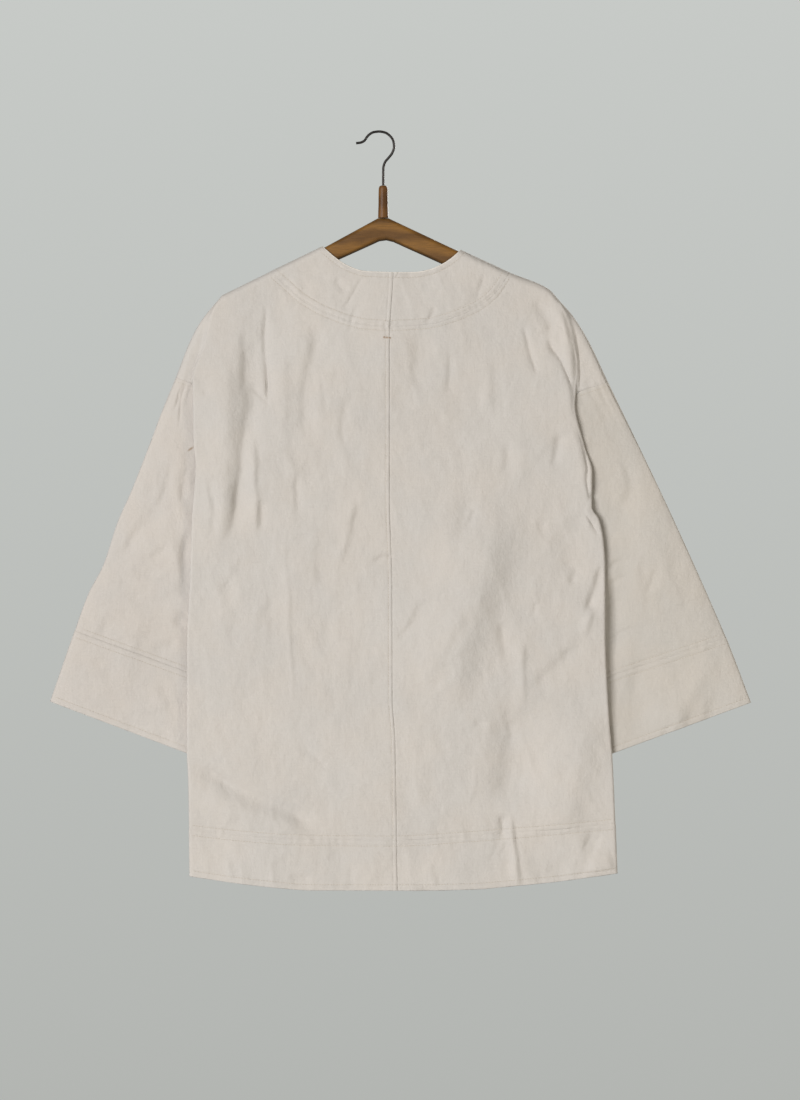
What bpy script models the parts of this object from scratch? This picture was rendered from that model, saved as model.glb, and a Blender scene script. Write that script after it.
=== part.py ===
"""Wrap jacket in natural cotton, hanging flat on a wooden hanger.

Run with: blender --background --python part.py

The frame is +Z up. The back of the jacket faces -Y and +X is to the right as one looks at the
back. The origin is the inside top of the hook's curl, where a rod or a nail carries it.
Every panel is a grid of points in the plane of the jacket, given its depth by body_depth or
sleeve_depth, then made a wall by a Solidify modifier. Neighbours share their seam's points, one
seam gap apart.
"""

import math

import bmesh
import bpy
import numpy as np

# Driving dimensions, in metres
MM = 0.001
WALL = 1.2 * MM                 # heavy cotton canvas, with the ease of its weave
BAND_WALL = 1.8 * MM            # bands, hems and cuffs are double cloth
SEAM_GAP = 0.3 * MM             # between neighbouring pieces
CORNER_GAP = 1.0 * MM           # added where an armhole seam goes under the body's fold
TOP_HALF = 9.2 * MM             # half of the jacket's depth over the hanger's arms
FOLD_DEPTH = 15.5 * MM          # from the middle plane to the body's folded edges
BODY_CROWN = 4.0 * MM           # how much further the middle of the body stands out
FOLD_RADIUS = 2.4 * MM          # of the cloth turning under at the body's edges
CAP_DEPTH = 6.2 * MM            # half depth of the dropped shoulder, outside the fold
SLEEVE_HALF = 5.2 * MM          # half depth of a sleeve lying flat
ROUNDING = 9.0 * MM             # distance over which the cloth rounds over an edge
LAP = 3.6 * MM                  # how far the upper front lies over the lower one
FRONT_INSET = 2.0 * MM          # the fronts' folded edges stay behind the back's
FRONT_RISE = 2.0 * MM           # the front hem ends this much above the back hem
CENTRE = 17.0 * MM              # x of the jacket's middle
BODY_HALF = 235 * MM            # from there to where the back's crown has fallen to nothing
DEEPENING = 95 * MM             # below the shoulder line, over which the body gets its depth
CROWN_FROM = 40 * MM            # the crown starts this far below the shoulder line
CROWN_OVER = 200 * MM           # and has its full height after this distance
FOLD_FADE = 30 * MM             # folds fade out over this distance below the shoulder line
LAP_FROM = 290 * MM             # the upper front starts to stand out this far below the origin
LAP_OVER = 90 * MM              # and lies over the lower one after this distance
LAP_INNER = 75 * MM             # x up to which the upper front stands out in full
LAP_FADE = 110 * MM             # and the distance over which it comes back
TURNED_DEPTH = 8.2 * MM         # of the armhole seam where it has gone under the body's fold
UNDER_ARM_DEPTH = 4.0 * MM      # of its end under the arm
SLEEVE_TUCK = 0.1 * MM          # added to the gap where the sleeve lies behind the body
CAP_FADE = 18 * MM              # from the body to where the dropped shoulder has its own depth
FRONT_SHIFT = (14, 26)          # the sleeve's front has the same folds, moved by this
FRONT_SHARE = 0.8               # and lower by this

HOOK_WIRE = 3.2 * MM
HANGER_THICK = 13.0 * MM
HANGER_EDGE = 5.5 * MM          # rounding along the arms' edges
HOOK_X = 5.0 * MM               # x of the hook's shank and the collar below it

# Outlines in millimetres, one row for each point of the shape: x, z
CENTRE_BACK = ((17.6, -175.8), (12.8, -256), (12.9, -460), (16, -560), (16.4, -710),
               (19.8, -760), (22.8, -950))
NECKLINE = {
    "left": ((17.6, -175.8), (-19, -174.1), (-41.5, -166.3), (-56, -156.5), (-71.5, -143.1)),
    "right": ((17.6, -175.8), (44.8, -175.5), (66, -171.3), (79, -165.5), (91.9, -156.9),
              (102.3, -147.5)),
}
BAND_SEAM = {
    "left": ((12.8, -241.9), (-17.8, -240), (-42.8, -233.8), (-74, -221.3), (-99, -206.3),
             (-118, -189), (-135.3, -174)),
    "right": ((12.8, -241.9), (38, -241), (63.5, -238.8), (94.8, -230), (123.5, -217.1),
              (144.8, -200), (161.8, -175)),
}
SHOULDER = {
    "left": ((-71.5, -143.1), (-135.3, -174), (-196.5, -204)),
    "right": ((102.3, -147.5), (161.8, -175), (211, -195.6), (224.8, -210)),
}
OUTLINE = {
    "left": ((-196.5, -204), (-222.8, -236.3), (-235.3, -259), (-254, -306.3), (-271.5, -349),
             (-286.5, -389), (-311.5, -452.5), (-326.5, -486), (-345.3, -542), (-364, -578),
             (-380.3, -622.5), (-411.5, -712.5)),
    "right": ((224.8, -210), (241.6, -229), (261, -260), (286, -312.5), (308.5, -359),
              (333.5, -411), (353.5, -453), (370.7, -490), (388.4, -529), (413.3, -585),
              (434.1, -633.3), (464.8, -713.8)),
}
OUTLINE_ARMHOLE = 3             # the outline's row that is the armhole's outer end
# The fold beside the dropped shoulder, then the body's folded edge down to the hem
BODY_EDGE = {
    "left": ((-196.5, -204), (-207.8, -225), (-215.9, -264), (-226.5, -291), (-232.8, -311),
             (-231.5, -389), (-229, -415), (-234, -491), (-236.5, -566), (-239.9, -640),
             (-239.9, -779), (-238.5, -805), (-236.5, -930)),
    "right": ((224.8, -210), (231.5, -224), (238, -243), (243, -268), (246, -295),
              (246, -321), (244.5, -340), (256, -391), (266, -425), (265.6, -469), (274.8, -485),
              (279.8, -509), (282.3, -545), (282.3, -622), (287.3, -736), (291, -780),
              (297.3, -927)),
}
# Where the armhole seam leaves the outline, goes under the body's fold and ends under the arm
ARMHOLE = {
    "left": {"outer": (-254, -306.3), "fold": (-234, -314), "under": (-146.5, -466)},
    "right": {"outer": (286, -312.5), "fold": (247.5, -325), "under": (178.5, -466)},
}
SIDE_SEAM = {
    "left": ((-146.5, -466), (-134, -535), (-174, -795), (-196.5, -930)),
    "right": ((178.5, -466), (182, -535), (227, -795), (254.8, -926)),
}
SLEEVE_INNER = {
    "left": ((-150, -468), (-161.5, -510), (-176.5, -699), (-192.8, -795)),
    "right": ((182, -468), (193.5, -510), (227, -702), (243.5, -795)),
}
CUFF_SEAM = {"left": ((-376.5, -625), (-176.5, -699)), "right": ((434.1, -633), (227, -702))}
CUFF_HEM = {"left": ((-411.5, -712.5), (-192.8, -795)), "right": ((464.8, -713.8), (243.5, -795))}
HEM_SEAM = ((-240, -872.5), (-172.8, -880), (-99, -885), (21, -886.3), (117.3, -880.6),
            (217.3, -872.5), (294, -865.6))
HEM_LINE = ((-240, -930), (-207.8, -935), (-172.8, -940), (-127.8, -945), (-82.8, -948.1),
            (51, -948.1), (117.9, -946.8), (174.8, -942), (217.3, -937.9), (297.3, -926.8))
# The front band's seam and its neck edge, level with each other: seam x, z and edge x, z
FRONT_BAND = {
    "left": ((-135.3, -174, -71.5, -143.1), (-104, -235, -44, -211), (-73, -301, -11, -283),
             (-43, -371, 21, -358), (-19, -441, 43, -434), (-8, -510, 57, -508),
             (-8, -700, 57, -700), (-8, -951, 57, -951)),
    "right": ((161.8, -175, 102.3, -147.5), (131, -238, 71, -214), (101, -304, 39, -286),
              (71, -374, 9, -361), (49, -443, -14, -437), (57, -512, -8, -510),
              (57, -700, -8, -700), (57, -951, -8, -951)),
}
# Largest folds of the back: from x, z to x, z, then the fold's half width and how far it rises
# towards the viewer, below nought for a trough
BACK_FOLDS = (
    (-142, -210, -139, -350, 6, -2.6),
    (-132, -214, -128, -352, 8, 1.6),
    (-161, -232, -167, -345, 12, -3.2),
    (-167, -345, -181, -486, 13, -2.8),
    (-158, -380, -170, -520, 8, 1.6),
    (-197, -524, -170, -590, 10, -1.4),
    (-91, -226, -94, -392, 12, -1.8),
    (-40, -320, -46, -405, 9, -1.4),
    (-120, -493, -106, -726, 9, 1.8),
    (-75, -500, -68, -650, 11, -1.2),
    (-27, -458, -55, -556, 10, 1.5),
    (-10, -538, 22, -530, 4, -1.4),
    (181, -242, 198, -308, 8, -2.4),
    (204, -218, 229, -268, 9, -2.2),
    (211, -258, 238, -318, 8, -2.8),
    (219, -215, 240, -300, 7, 2.2),
    (114, -456, 92, -512, 8, -1.5),
    (126, -480, 70, -655, 16, 2.6),
    (132, -592, 66, -706, 13, -2.4),
    (58, -580, 22, -642, 9, -1.4),
    (276, -540, 258, -606, 9, -2.6),
    (150, -612, 162, -662, 9, -1.4),
    (240, -650, 188, -700, 14, -1.6),
    (180, -634, 178, -726, 7, 1.4),
    (-236, -806, -172, -830, 12, -2.6),
    (-172, -830, -90, -860, 14, -2.0),
    (164, -855, 172, -944, 5, 1.6),
    (148, -740, 164, -760, 8, -1.8),
)
# Folds of the front, which the photograph hides: like those of the back, and as uneven
FRONT_FOLDS = (
    (-158, -235, -150, -370, 10, -2.6),
    (-150, -380, -176, -500, 12, -2.2),
    (-98, -300, -120, -420, 10, 1.6),
    (-205, -560, -150, -640, 12, -1.6),
    (-90, -520, -72, -690, 12, 1.7),
    (-60, -560, -48, -640, 9, -1.3),
    (186, -236, 178, -330, 9, -2.4),
    (205, -240, 232, -300, 9, -2.2),
    (150, -330, 168, -430, 12, 1.7),
    (240, -560, 190, -680, 14, -2.0),
    (120, -560, 96, -700, 12, 1.8),
    (88, -590, 80, -660, 8, -1.3),
    (-225, -800, -140, -838, 13, -2.2),
    (270, -800, 190, -835, 13, -2.0),
)
# Folds of the sleeves, seen from the back, in the same form
SLEEVE_FOLDS = (
    (-302, -505, -344, -552, 8, -1.3),
    (-312, -548, -270, -556, 7, -1.2),
    (-240, -420, -250, -470, 8, -1.2),
    (-262, -330, -278, -420, 12, 1.0),
    (-240, -600, -262, -624, 8, -1.2),
    (282, -320, 296, -380, 8, -1.4),
    (306, -408, 316, -448, 10, -1.3),
    (316, -448, 290, -480, 10, -1.2),
    (344, -546, 336, -582, 9, -1.2),
    (408, -644, 388, -714, 14, 1.3),
)

# The hanger's arms, cut from one board: its upper edge and its lower one, x, z
ARMS_TOP = ((-192, -206.5), (-135, -176.4), (-71.5, -145.3), (-1.4, -107), (11.4, -107),
            (102.3, -149.9), (162, -177.8), (204, -198.5))
ARMS_BELOW = ((202, -220.5), (162, -202), (79.8, -165), (28, -141.6), (18, -137), (9, -134.8),
              (0, -136), (-9, -140.2), (-52.8, -160), (-135, -200.5), (-188, -228))
# The turned collar on top of the arms, from its foot up: radius, z
NECK_PROFILE = ((6.5, -106.6), (6.3, -99), (6.0, -90), (5.9, -79), (5.7, -71), (4.8, -67.2),
                (2.6, -66))
# The wire hook, from its tip over the curl to the shank
HOOK_PATH = ((-29, -13), (-23.5, -12.3), (-18.5, -9.8), (-15.2, -5), (-12, -1.8), (-7, 0.8),
             (0, 1.6), (7, 0.4), (13.2, -3.6), (17.6, -10), (18.6, -17.5), (16.4, -25),
             (11.6, -31.5), (7.2, -37), (5.2, -44), (5, -54), (5, -65.6))
HOOK_POINTS = 44

# Rows from a panel's top edge to its hem seam, and across from its inner edge to its fold
PANEL_ROWS = (0.0, 0.004, 0.013, 0.028, 0.055, 0.095, 0.135, 0.17, 0.2, 0.235, 0.275, 0.32,
              0.365, 0.41, 0.46, 0.51, 0.56, 0.62, 0.68, 0.74, 0.80, 0.86, 0.93, 1.0)
ROW_AT_FOLD = 7                 # the row that meets the armhole's visible end
FOLD_TURNS = (0.0, 95.0, 150.0, 180.0)      # degrees, from the row above that fold on
ROW_BAND_JOIN = 6               # the row at which the neck band meets the front band
ROW_UNDER_ARM = 13              # the row that meets the point under the arm
NECK_PARTS = (0.0, 0.13, 0.26, 0.39, 0.51, 0.62, 0.73, 0.83, 0.91, 0.955, 0.985, 1.0)
CAP_CELLS = 4                   # across the shoulder beyond the band
FRONT_CELLS = 9
ARC_CELLS = 4                   # round the body's folded edge
RETURN_CELLS = 4                # across the cloth turned under
BAND_CELLS = 3
HEM_CELLS = 3
CUFF_CELLS = 4
SLEEVE_ROWS = 13
HEM_SHARE = 0.09                # of a panel's length, carried on down to the hem
# Round one side of a sleeve: the armhole rows that it meets, and its places further down
SLEEVE_JOINS = PANEL_ROWS[:ROW_UNDER_ARM] + (0.395, 0.406, 0.41)
SLEEVE_ACROSS = (0.0, 0.012, 0.035, 0.07, 0.115, 0.17, 0.235, 0.305, 0.38, 0.46, 0.545, 0.64,
                 0.75, 0.87, 0.985, 1.0)

COLOURS = {
    "canvas": ((0.60, 0.57, 0.51, 1.0), 0.92, 0.0),
    "wood": ((0.19, 0.082, 0.03, 1.0), 0.5, 0.0),
    "neck_wood": ((0.27, 0.105, 0.034, 1.0), 0.4, 0.0),
    "steel": ((0.05, 0.045, 0.042, 1.0), 0.38, 0.9),
}


def smooth(keys, values, at):
    """A smooth curve through values at rising keys, which never overshoots them."""
    keys = np.asarray(keys, float)
    values = np.asarray(values, float)
    steps = np.diff(keys)
    slopes = np.diff(values) / steps
    before, after = slopes[:-1], slopes[1:]
    same_way = before * after > 0
    total = np.where(same_way, before + after, 1.0)
    inner = np.where(same_way, 2 * before * after / total, 0.0)
    tangents = np.concatenate((slopes[:1], inner, slopes[-1:]))
    span = np.clip(np.searchsorted(keys, at, side="right") - 1, 0, len(steps) - 1)
    step = steps[span]
    part = np.clip((at - keys[span]) / step, 0.0, 1.0)
    start = 2 * part**3 - 3 * part**2 + 1
    bend = part**3 - 2 * part**2 + part
    other = part**3 - part**2
    return (start * values[span] + bend * step * tangents[span]
            + (1 - start) * values[span + 1] + other * step * tangents[span + 1])


def ease(value):
    """0 below 0, 1 above 1, and smooth between."""
    part = np.clip(value, 0.0, 1.0)
    return part * part * (3 - 2 * part)


def along(table, part):
    """Plan points on a table's curve, part running from 0 to 1 by its length."""
    rows = np.asarray(table, float) * MM
    lengths = np.concatenate(((0.0,), np.cumsum(np.hypot(*np.diff(rows[:, :2], axis=0).T))))
    at = np.asarray(part) * lengths[-1]
    return np.stack([smooth(lengths, column, at) for column in rows.T], axis=-1)


def x_at(table, z):
    """The x of an upright curve at height z."""
    rows = np.asarray(table, float) * MM
    return smooth(-rows[:, 1], rows[:, 0], -np.asarray(z))


def z_at(table, x):
    """The height of a level curve at x, whichever way its table runs."""
    rows = np.asarray(table, float) * MM
    if rows[0, 0] > rows[-1, 0]:
        rows = rows[::-1]
    return smooth(rows[:, 0], rows[:, 1], np.asarray(x))


def mix(first, second, part):
    """The point at that part of the way from the first to the second."""
    return first + (second - first) * np.asarray(part)[..., None]


def distance_to(table, points):
    """How far plan points lie from a table's line."""
    line = np.asarray(table, float) * MM
    best = np.full(points.shape[:-1], np.inf)
    for start, end in zip(line[:-1], line[1:]):
        run = end - start
        part = np.clip(((points - start) @ run) / (run @ run), 0.0, 1.0)
        gap = points - (start + part[..., None] * run)
        best = np.minimum(best, np.hypot(gap[..., 0], gap[..., 1]))
    return best


def outward(side):
    """The way from the middle to a side, along x."""
    return -1.0 if side == "left" else 1.0


def rounded(distance, edge, depth):
    """Depth of cloth that turns over an edge: edge at the edge, then round up to depth."""
    part = np.clip(distance / ROUNDING, 0.0, 1.0)
    return edge + (depth - edge) * np.sqrt(np.clip(1 - (1 - part)**2, 0.0, 1.0))


def folds_at(folds, points):
    """How far the listed folds raise the cloth at plan points, fading at their ends."""
    rise = np.zeros(points.shape[:-1])
    for x0, z0, x1, z1, half_width, height in folds:
        start = np.array((x0, z0)) * MM
        run = np.array((x1, z1)) * MM - start
        part = ((points - start) @ run) / (run @ run)
        nearest = start + np.clip(part, 0.0, 1.0)[..., None] * run
        away = np.hypot(*np.moveaxis(points - nearest, -1, 0)) / (half_width * MM)
        middle = 0.45 + 0.55 * np.sin(math.pi * np.clip(part, 0.0, 1.0))
        rise += height * MM * middle * np.exp(-away**2)
    return rise


def shoulder_drop(points):
    """How far plan points lie below the two shoulder lines, carried on past the shoulders."""
    x, z = points[..., 0], points[..., 1]
    line = np.asarray(SHOULDER["left"][::-1] + SHOULDER["right"][:-1], float) * MM
    end_slope = (line[1, 1] - line[0, 1]) / (line[1, 0] - line[0, 0])
    far_slope = (line[-1, 1] - line[-2, 1]) / (line[-1, 0] - line[-2, 0])
    height = np.interp(x, line[:, 0], line[:, 1])
    height = height + np.minimum(x - line[0, 0], 0.0) * end_slope
    height = height + np.maximum(x - line[-1, 0], 0.0) * far_slope
    return height - z


def body_depth(points, edge, front=None):
    """Distance of the body's cloth from the middle plane, at plan points.

    edge is the depth at the shoulder line. front is None for the back, else left or right.
    """
    x, z = points[..., 0], points[..., 1]
    drop = shoulder_drop(points)
    broad = TOP_HALF + (FOLD_DEPTH - TOP_HALF) * ease(drop / DEEPENING)
    middle = np.clip(1 - ((x - CENTRE) / BODY_HALF)**2, 0.0, 1.0)
    if front is None:
        broad = broad + BODY_CROWN * middle * ease((drop - CROWN_FROM) / CROWN_OVER)
        folds = folds_at(BACK_FOLDS, points)
    else:
        folds = folds_at(FRONT_FOLDS, points)
        if front == "right":
            low = ease((-z - LAP_FROM) / LAP_OVER)
            near = 1 - ease((x - LAP_INNER) / LAP_FADE)
            broad = broad + LAP * low * near
    return rounded(drop, edge, broad) + folds * ease(drop / FOLD_FADE)


def cap_depth(points, side, edge):
    """Half depth of the dropped shoulder, from its distance to the outline."""
    line = SHOULDER[side][-1:] + OUTLINE[side][1:]
    return rounded(distance_to(line, points), edge, CAP_DEPTH)


def edge_rows(side, rows):
    """Plan points down a body panel's fold and down its armhole and side seam."""
    rows = np.asarray(rows)
    top = OUTLINE[side][0][1] * MM
    hem = z_at(HEM_SEAM, BODY_EDGE[side][-1][0] * MM)
    fold_z = top + rows * (hem - top)
    fold = np.stack((x_at(BODY_EDGE[side], fold_z), fold_z), axis=-1)
    seam = ARMHOLE[side]
    outer, visible, under = (np.array(seam[key]) * MM for key in ("outer", "fold", "under"))
    at_fold = PANEL_ROWS[ROW_AT_FOLD]
    at_arm = PANEL_ROWS[ROW_UNDER_ARM]
    shown = mix(outer, visible, np.clip(rows / at_fold, 0.0, 1.0)**0.6)
    hidden = mix(visible, under, np.clip((rows - at_fold) / (at_arm - at_fold), 0.0, 1.0))
    low = np.clip((rows - at_arm) / (1 - at_arm), 0.0, 1.0)
    end_hem = z_at(HEM_SEAM, x_at(SIDE_SEAM[side], hem))
    low_z = under[1] + low * (end_hem - under[1])
    seam_points = np.stack((x_at(SIDE_SEAM[side], low_z), low_z), axis=-1)
    end = np.where((rows <= at_fold)[:, None], shown, hidden)
    end = np.where((rows >= at_arm)[:, None], seam_points, end)
    return fold, end


def seam_depth(side, rows, edge):
    """Depth of a body panel's wall down its armhole and side seam, and the sleeve's there."""
    rows = np.asarray(rows)
    _, end = edge_rows(side, rows)
    at_fold = PANEL_ROWS[ROW_AT_FOLD]
    at_arm = PANEL_ROWS[ROW_UNDER_ARM]
    shown = cap_depth(end, side, edge)
    part = (rows - at_fold) / (at_arm - at_fold)
    hidden = CAP_DEPTH + (TURNED_DEPTH - CAP_DEPTH) * ease(part * 6)
    hidden = hidden + (UNDER_ARM_DEPTH - TURNED_DEPTH) * ease((part - 0.35) / 0.65)
    below = UNDER_ARM_DEPTH + (edge - UNDER_ARM_DEPTH) * ease((rows - at_arm) / 0.1)
    body = np.where(rows <= at_fold, shown, np.where(rows <= at_arm, hidden, below))
    step = WALL + SEAM_GAP + SLEEVE_TUCK
    sleeve = body - step * ease(part * 6)
    return body, sleeve


def panel(side, top, rows, inner, wall, front=None):
    """Grid of points of a body panel, rows down from its top edge, columns out to its seam.

    top holds the plan points of the top edge from the inner edge to the shoulder's end, or is
    None where the inner edge carries the rows, and inner holds the inner edge's points.
    """
    edge = wall / 2 + SEAM_GAP / 2
    out = outward(side)
    fold, end = edge_rows(side, rows)
    if front:
        fold[:, 0] -= out * FRONT_INSET * ease(np.asarray(rows) / PANEL_ROWS[ROW_AT_FOLD])
    turn = np.interp(rows, PANEL_ROWS[ROW_AT_FOLD - 1:ROW_AT_FOLD + 3], FOLD_TURNS)
    shown_edge = fold.copy()
    shown_edge[:, 0] -= out * FOLD_RADIUS * np.minimum(turn / FOLD_TURNS[1], 1.0)
    seam, _ = seam_depth(side, rows, edge)
    grid = []
    for row, part in enumerate(rows):
        if top is None:
            share = np.linspace(0.0, 1.0, FRONT_CELLS + 1)
            plan = mix(inner[row], shown_edge[row], share)
        else:
            share = (top[:, 0] - top[0, 0]) / (top[-1, 0] - top[0, 0])
            x = inner[row, 0] + share * (shown_edge[row, 0] - inner[row, 0])
            last = inner[-1, 0] + share * (shown_edge[-1, 0] - inner[-1, 0])
            z = top[:, 1] + part * (z_at(HEM_SEAM, last) - top[:, 1])
            plan = np.stack((x, z), axis=-1)
        depth = body_depth(plan, edge, front)
        grid.append(np.column_stack((plan, depth)))
        rest = turn_under(side, grid[-1][-1], end[row], seam[row], turn[row], part, edge)
        grid[-1] = np.vstack((grid[-1], rest))
    return np.array(grid)


def turn_under(side, last, end, seam, turn, row, edge):
    """The rest of a panel's row: out over the shoulder, or round the fold and on to the seam."""
    out = outward(side)
    cells = ARC_CELLS + RETURN_CELLS
    part = np.arange(1, cells + 1) / cells
    cap = OUTLINE[side][:OUTLINE_ARMHOLE + 1]
    bulge = along(cap, part) - mix(np.array(cap[0]) * MM, np.array(cap[-1]) * MM, part)
    plan = mix(last[:2], end, part) + bulge * max(1 - row / PANEL_ROWS[ROW_AT_FOLD], 0.0)
    start = cap_depth(last[None, :2], side, edge)[0]
    run = np.hypot(*(end - last[:2]))
    fade = 1 - ease(part * run / min(CAP_FADE, run))
    over = np.column_stack((plan, cap_depth(plan, side, edge) + (last[2] - start) * fade))

    angle = np.arange(1, ARC_CELLS + 1) / ARC_CELLS * math.radians(turn)
    arc = np.column_stack((last[0] + out * FOLD_RADIUS * np.sin(angle),
                           np.full(ARC_CELLS, last[1]),
                           last[2] - FOLD_RADIUS * (1 - np.cos(angle))))
    part = np.arange(1, RETURN_CELLS + 1) / RETURN_CELLS
    late = part + (ease((part - 0.5) / 0.5) - part) * ease((turn - 150) / 30)
    depth = arc[-1, 2] + (seam - arc[-1, 2]) * late
    under = np.vstack((arc, np.column_stack((mix(arc[-1, :2], end, part), depth))))
    return over + (under - over) * min(turn / FOLD_TURNS[1], 1.0)


def centre_line(side, z):
    """Plan points of a back piece's edge at the centre seam."""
    x = x_at(CENTRE_BACK, z) + outward(side) * SEAM_GAP / 2
    return np.stack((x, z), axis=-1)


def back_grid(side, rows=PANEL_ROWS, wall=WALL):
    """Points of a back panel, or of its surface carried on below the hem seam."""
    band = along(BAND_SEAM[side], NECK_PARTS)
    shoulder = along(SHOULDER[side][1:], np.linspace(0, 1, CAP_CELLS + 1))
    top = np.vstack((band, shoulder[1:]))
    top[0] = centre_line(side, top[0, 1])
    hem = z_at(HEM_SEAM, CENTRE)
    inner = centre_line(side, top[0, 1] + np.asarray(rows) * (hem - top[0, 1]))
    return panel(side, top, rows, inner, wall)


def band_rows(side, rows):
    """A front band's seam and neck edge, level with the front panel's rows."""
    table = FRONT_BAND[side]
    line = np.asarray(table, float)[:, :2] * MM
    length = np.hypot(*np.diff(line, axis=0).T).sum()
    hem = z_at(HEM_SEAM, line[-1, 0])
    return along(table, np.asarray(rows) * (1 - (hem - line[-1, 1]) / length))


def front_grid(side, rows=PANEL_ROWS, wall=WALL):
    """Points of a front panel, or of its surface carried on below the hem seam."""
    inner = band_rows(side, rows)[:, :2]
    inner[:, 0] += outward(side) * SEAM_GAP / 2
    return panel(side, None, rows, inner, wall, front=side)


def collar_grid(side):
    """Points of half of the neck band on the back, from the neckline to the band's seam."""
    upper = along(NECKLINE[side], NECK_PARTS)
    lower = along(BAND_SEAM[side], NECK_PARTS)
    upper[0] = centre_line(side, upper[0, 1])
    lower[0] = centre_line(side, lower[0, 1])
    depth = np.hypot(*(lower - upper).T)
    rows = []
    for part in np.linspace(0, 1, BAND_CELLS + 1):
        plan = mix(upper, lower, part * (1 - SEAM_GAP / depth))
        rows.append(np.column_stack((plan, body_depth(plan, BAND_WALL / 2 + SEAM_GAP / 2))))
    return np.array(rows)


def front_band_grids(side):
    """Points of the band's two lengths on a front: the neck's from the shoulder, and the front's.

    Both run down, and across from the panel to the edge.
    """
    rows = np.array(PANEL_ROWS)
    hem_rows = 1 + HEM_SHARE * np.arange(1, HEM_CELLS + 1) / HEM_CELLS
    lines = band_rows(side, np.concatenate((rows, hem_rows)))
    lines[-1, 1] = lines[-1, 3] = FRONT_BAND[side][-1][1] * MM
    seam, edge_line = lines[:, :2], lines[:, 2:]
    grid = []
    for part in np.linspace(0, 1, BAND_CELLS + 1):
        plan = mix(seam, edge_line, part)
        plan[:, 0] -= outward(side) * SEAM_GAP / 2 * (1 - part)
        grid.append(np.column_stack((plan, body_depth(plan, BAND_WALL / 2 + SEAM_GAP / 2, side))))
    grid = np.array(grid)
    lower = grid[:, ROW_BAND_JOIN:].copy()
    run = lower[:, 1] - lower[:, 0]
    lower[:, 0] += run / np.linalg.norm(run, axis=-1, keepdims=True) * SEAM_GAP
    return grid[:, :ROW_BAND_JOIN + 1], lower


def hem_grid(side, front=False):
    """Points of a hem band, hung from the last row of its panel."""
    parts = np.arange(HEM_CELLS + 1) / HEM_CELLS
    shape = front_grid if front else back_grid
    carried = shape(side, 1 + HEM_SHARE * parts, BAND_WALL)
    top = carried[0, :, 1] - SEAM_GAP
    rise = FRONT_RISE if front else 0.0
    for row, part in enumerate(parts):
        line = z_at(HEM_LINE, carried[row, :, 0]) + rise
        carried[row, :, 1] = top + part * (line - top)
    return carried


def sleeve_depth(side, plan, share, back):
    """Half depth of a flat sleeve at shares of the way across, with its folds."""
    shape = SLEEVE_HALF * np.sqrt(np.clip(1 - np.abs(2 * share - 1)**4, 0.0, 1.0))
    shift = np.zeros(2) if back else np.array((outward(side), 1)) * FRONT_SHIFT * MM
    folds = folds_at(SLEEVE_FOLDS, plan + shift)
    return shape + folds * np.sin(math.pi * share) * (1.0 if back else FRONT_SHARE)


def sleeve_lines(side, part, low):
    """Plan points down a sleeve's outer and inner edges, from armhole to cuff seam or below."""
    names = (CUFF_SEAM[side], CUFF_HEM[side]) if low else (None, CUFF_SEAM[side])
    start = (ARMHOLE[side]["outer"], SLEEVE_INNER[side][0]) if names[0] is None else names[0]
    lines = []
    for table, first, last in zip((OUTLINE[side], SLEEVE_INNER[side]), start, names[1]):
        z = (first[1] + part * (last[1] - first[1])) * MM
        lines.append(np.array((float(x_at(table, z)), z)))
    return lines


def ring(side, outer, inner, back, shift=None, blend=None):
    """One side of a section of a sleeve or cuff, from its outer edge to its inner one."""
    share = np.array(SLEEVE_ACROSS)
    plan = mix(outer, inner, share)
    depth = sleeve_depth(side, plan, share, back)
    if shift is not None:
        plan = plan + shift[0] * blend[0]
        depth = depth + shift[1] * blend[1]
        depth[0] = depth[-1] = 0.0
    return np.column_stack((plan, depth))


def tube_grid(side, low):
    """Closed rings of a sleeve, or of a cuff where low is set."""
    joins = np.array(SLEEVE_JOINS)
    _, arm = edge_rows(side, joins)
    _, arm_depth = seam_depth(side, joins, WALL / 2 + SEAM_GAP / 2)
    outer, inner = sleeve_lines(side, 0.0, False)
    share = np.array(SLEEVE_ACROSS)
    count = CUFF_CELLS if low else SLEEVE_ROWS
    rings = []
    for row in range(count + 1):
        part = row / count
        first, last = sleeve_lines(side, part, low)
        sides = []
        for back in (True, False):
            shift = blend = None
            if not low:
                plan = mix(outer, inner, share)
                shift = (arm - plan, arm_depth - sleeve_depth(side, plan, share, back))
                blend = (1 - ease(part / 0.4), 1 - ease(part / 0.22))
            points = ring(side, first, last, back, shift, blend)
            sides.append(points)
        rings.append(sides)
    return np.array(rings)


def close_rings(rings):
    """World points of closed rings: along the back side, then home along the front side."""
    back, front = rings[:, 0], rings[:, 1]
    back = np.stack((back[..., 0], -back[..., 2], back[..., 1]), axis=-1)
    front = np.stack((front[..., 0], front[..., 2], front[..., 1]), axis=-1)
    return np.concatenate((back, front[:, -2:0:-1]), axis=1)


def pull_back(rings, corner=0.0):
    """Moves the first ring along its sleeve by the gap at the seam above it.

    corner is what the gap grows by where the seam goes under the body's fold.
    """
    run = rings[1] - rings[0]
    count = rings.shape[1]
    place = np.minimum(np.arange(count), count - np.arange(count))
    gap = SEAM_GAP + corner * np.exp(-(place - ROW_AT_FOLD - 0.5)**2)
    rings[0] += run / np.linalg.norm(run, axis=-1, keepdims=True) * gap[:, None]
    return rings


def material(name):
    """A Principled material with one of the jacket's colours."""
    made = bpy.data.materials.get(name)
    if made:
        return made
    colour, roughness, metallic = COLOURS[name]
    made = bpy.data.materials.new(name)
    made.use_nodes = True
    shader = made.node_tree.nodes["Principled BSDF"]
    shader.inputs["Base Color"].default_value = colour
    shader.inputs["Roughness"].default_value = roughness
    shader.inputs["Metallic"].default_value = metallic
    return made


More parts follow.
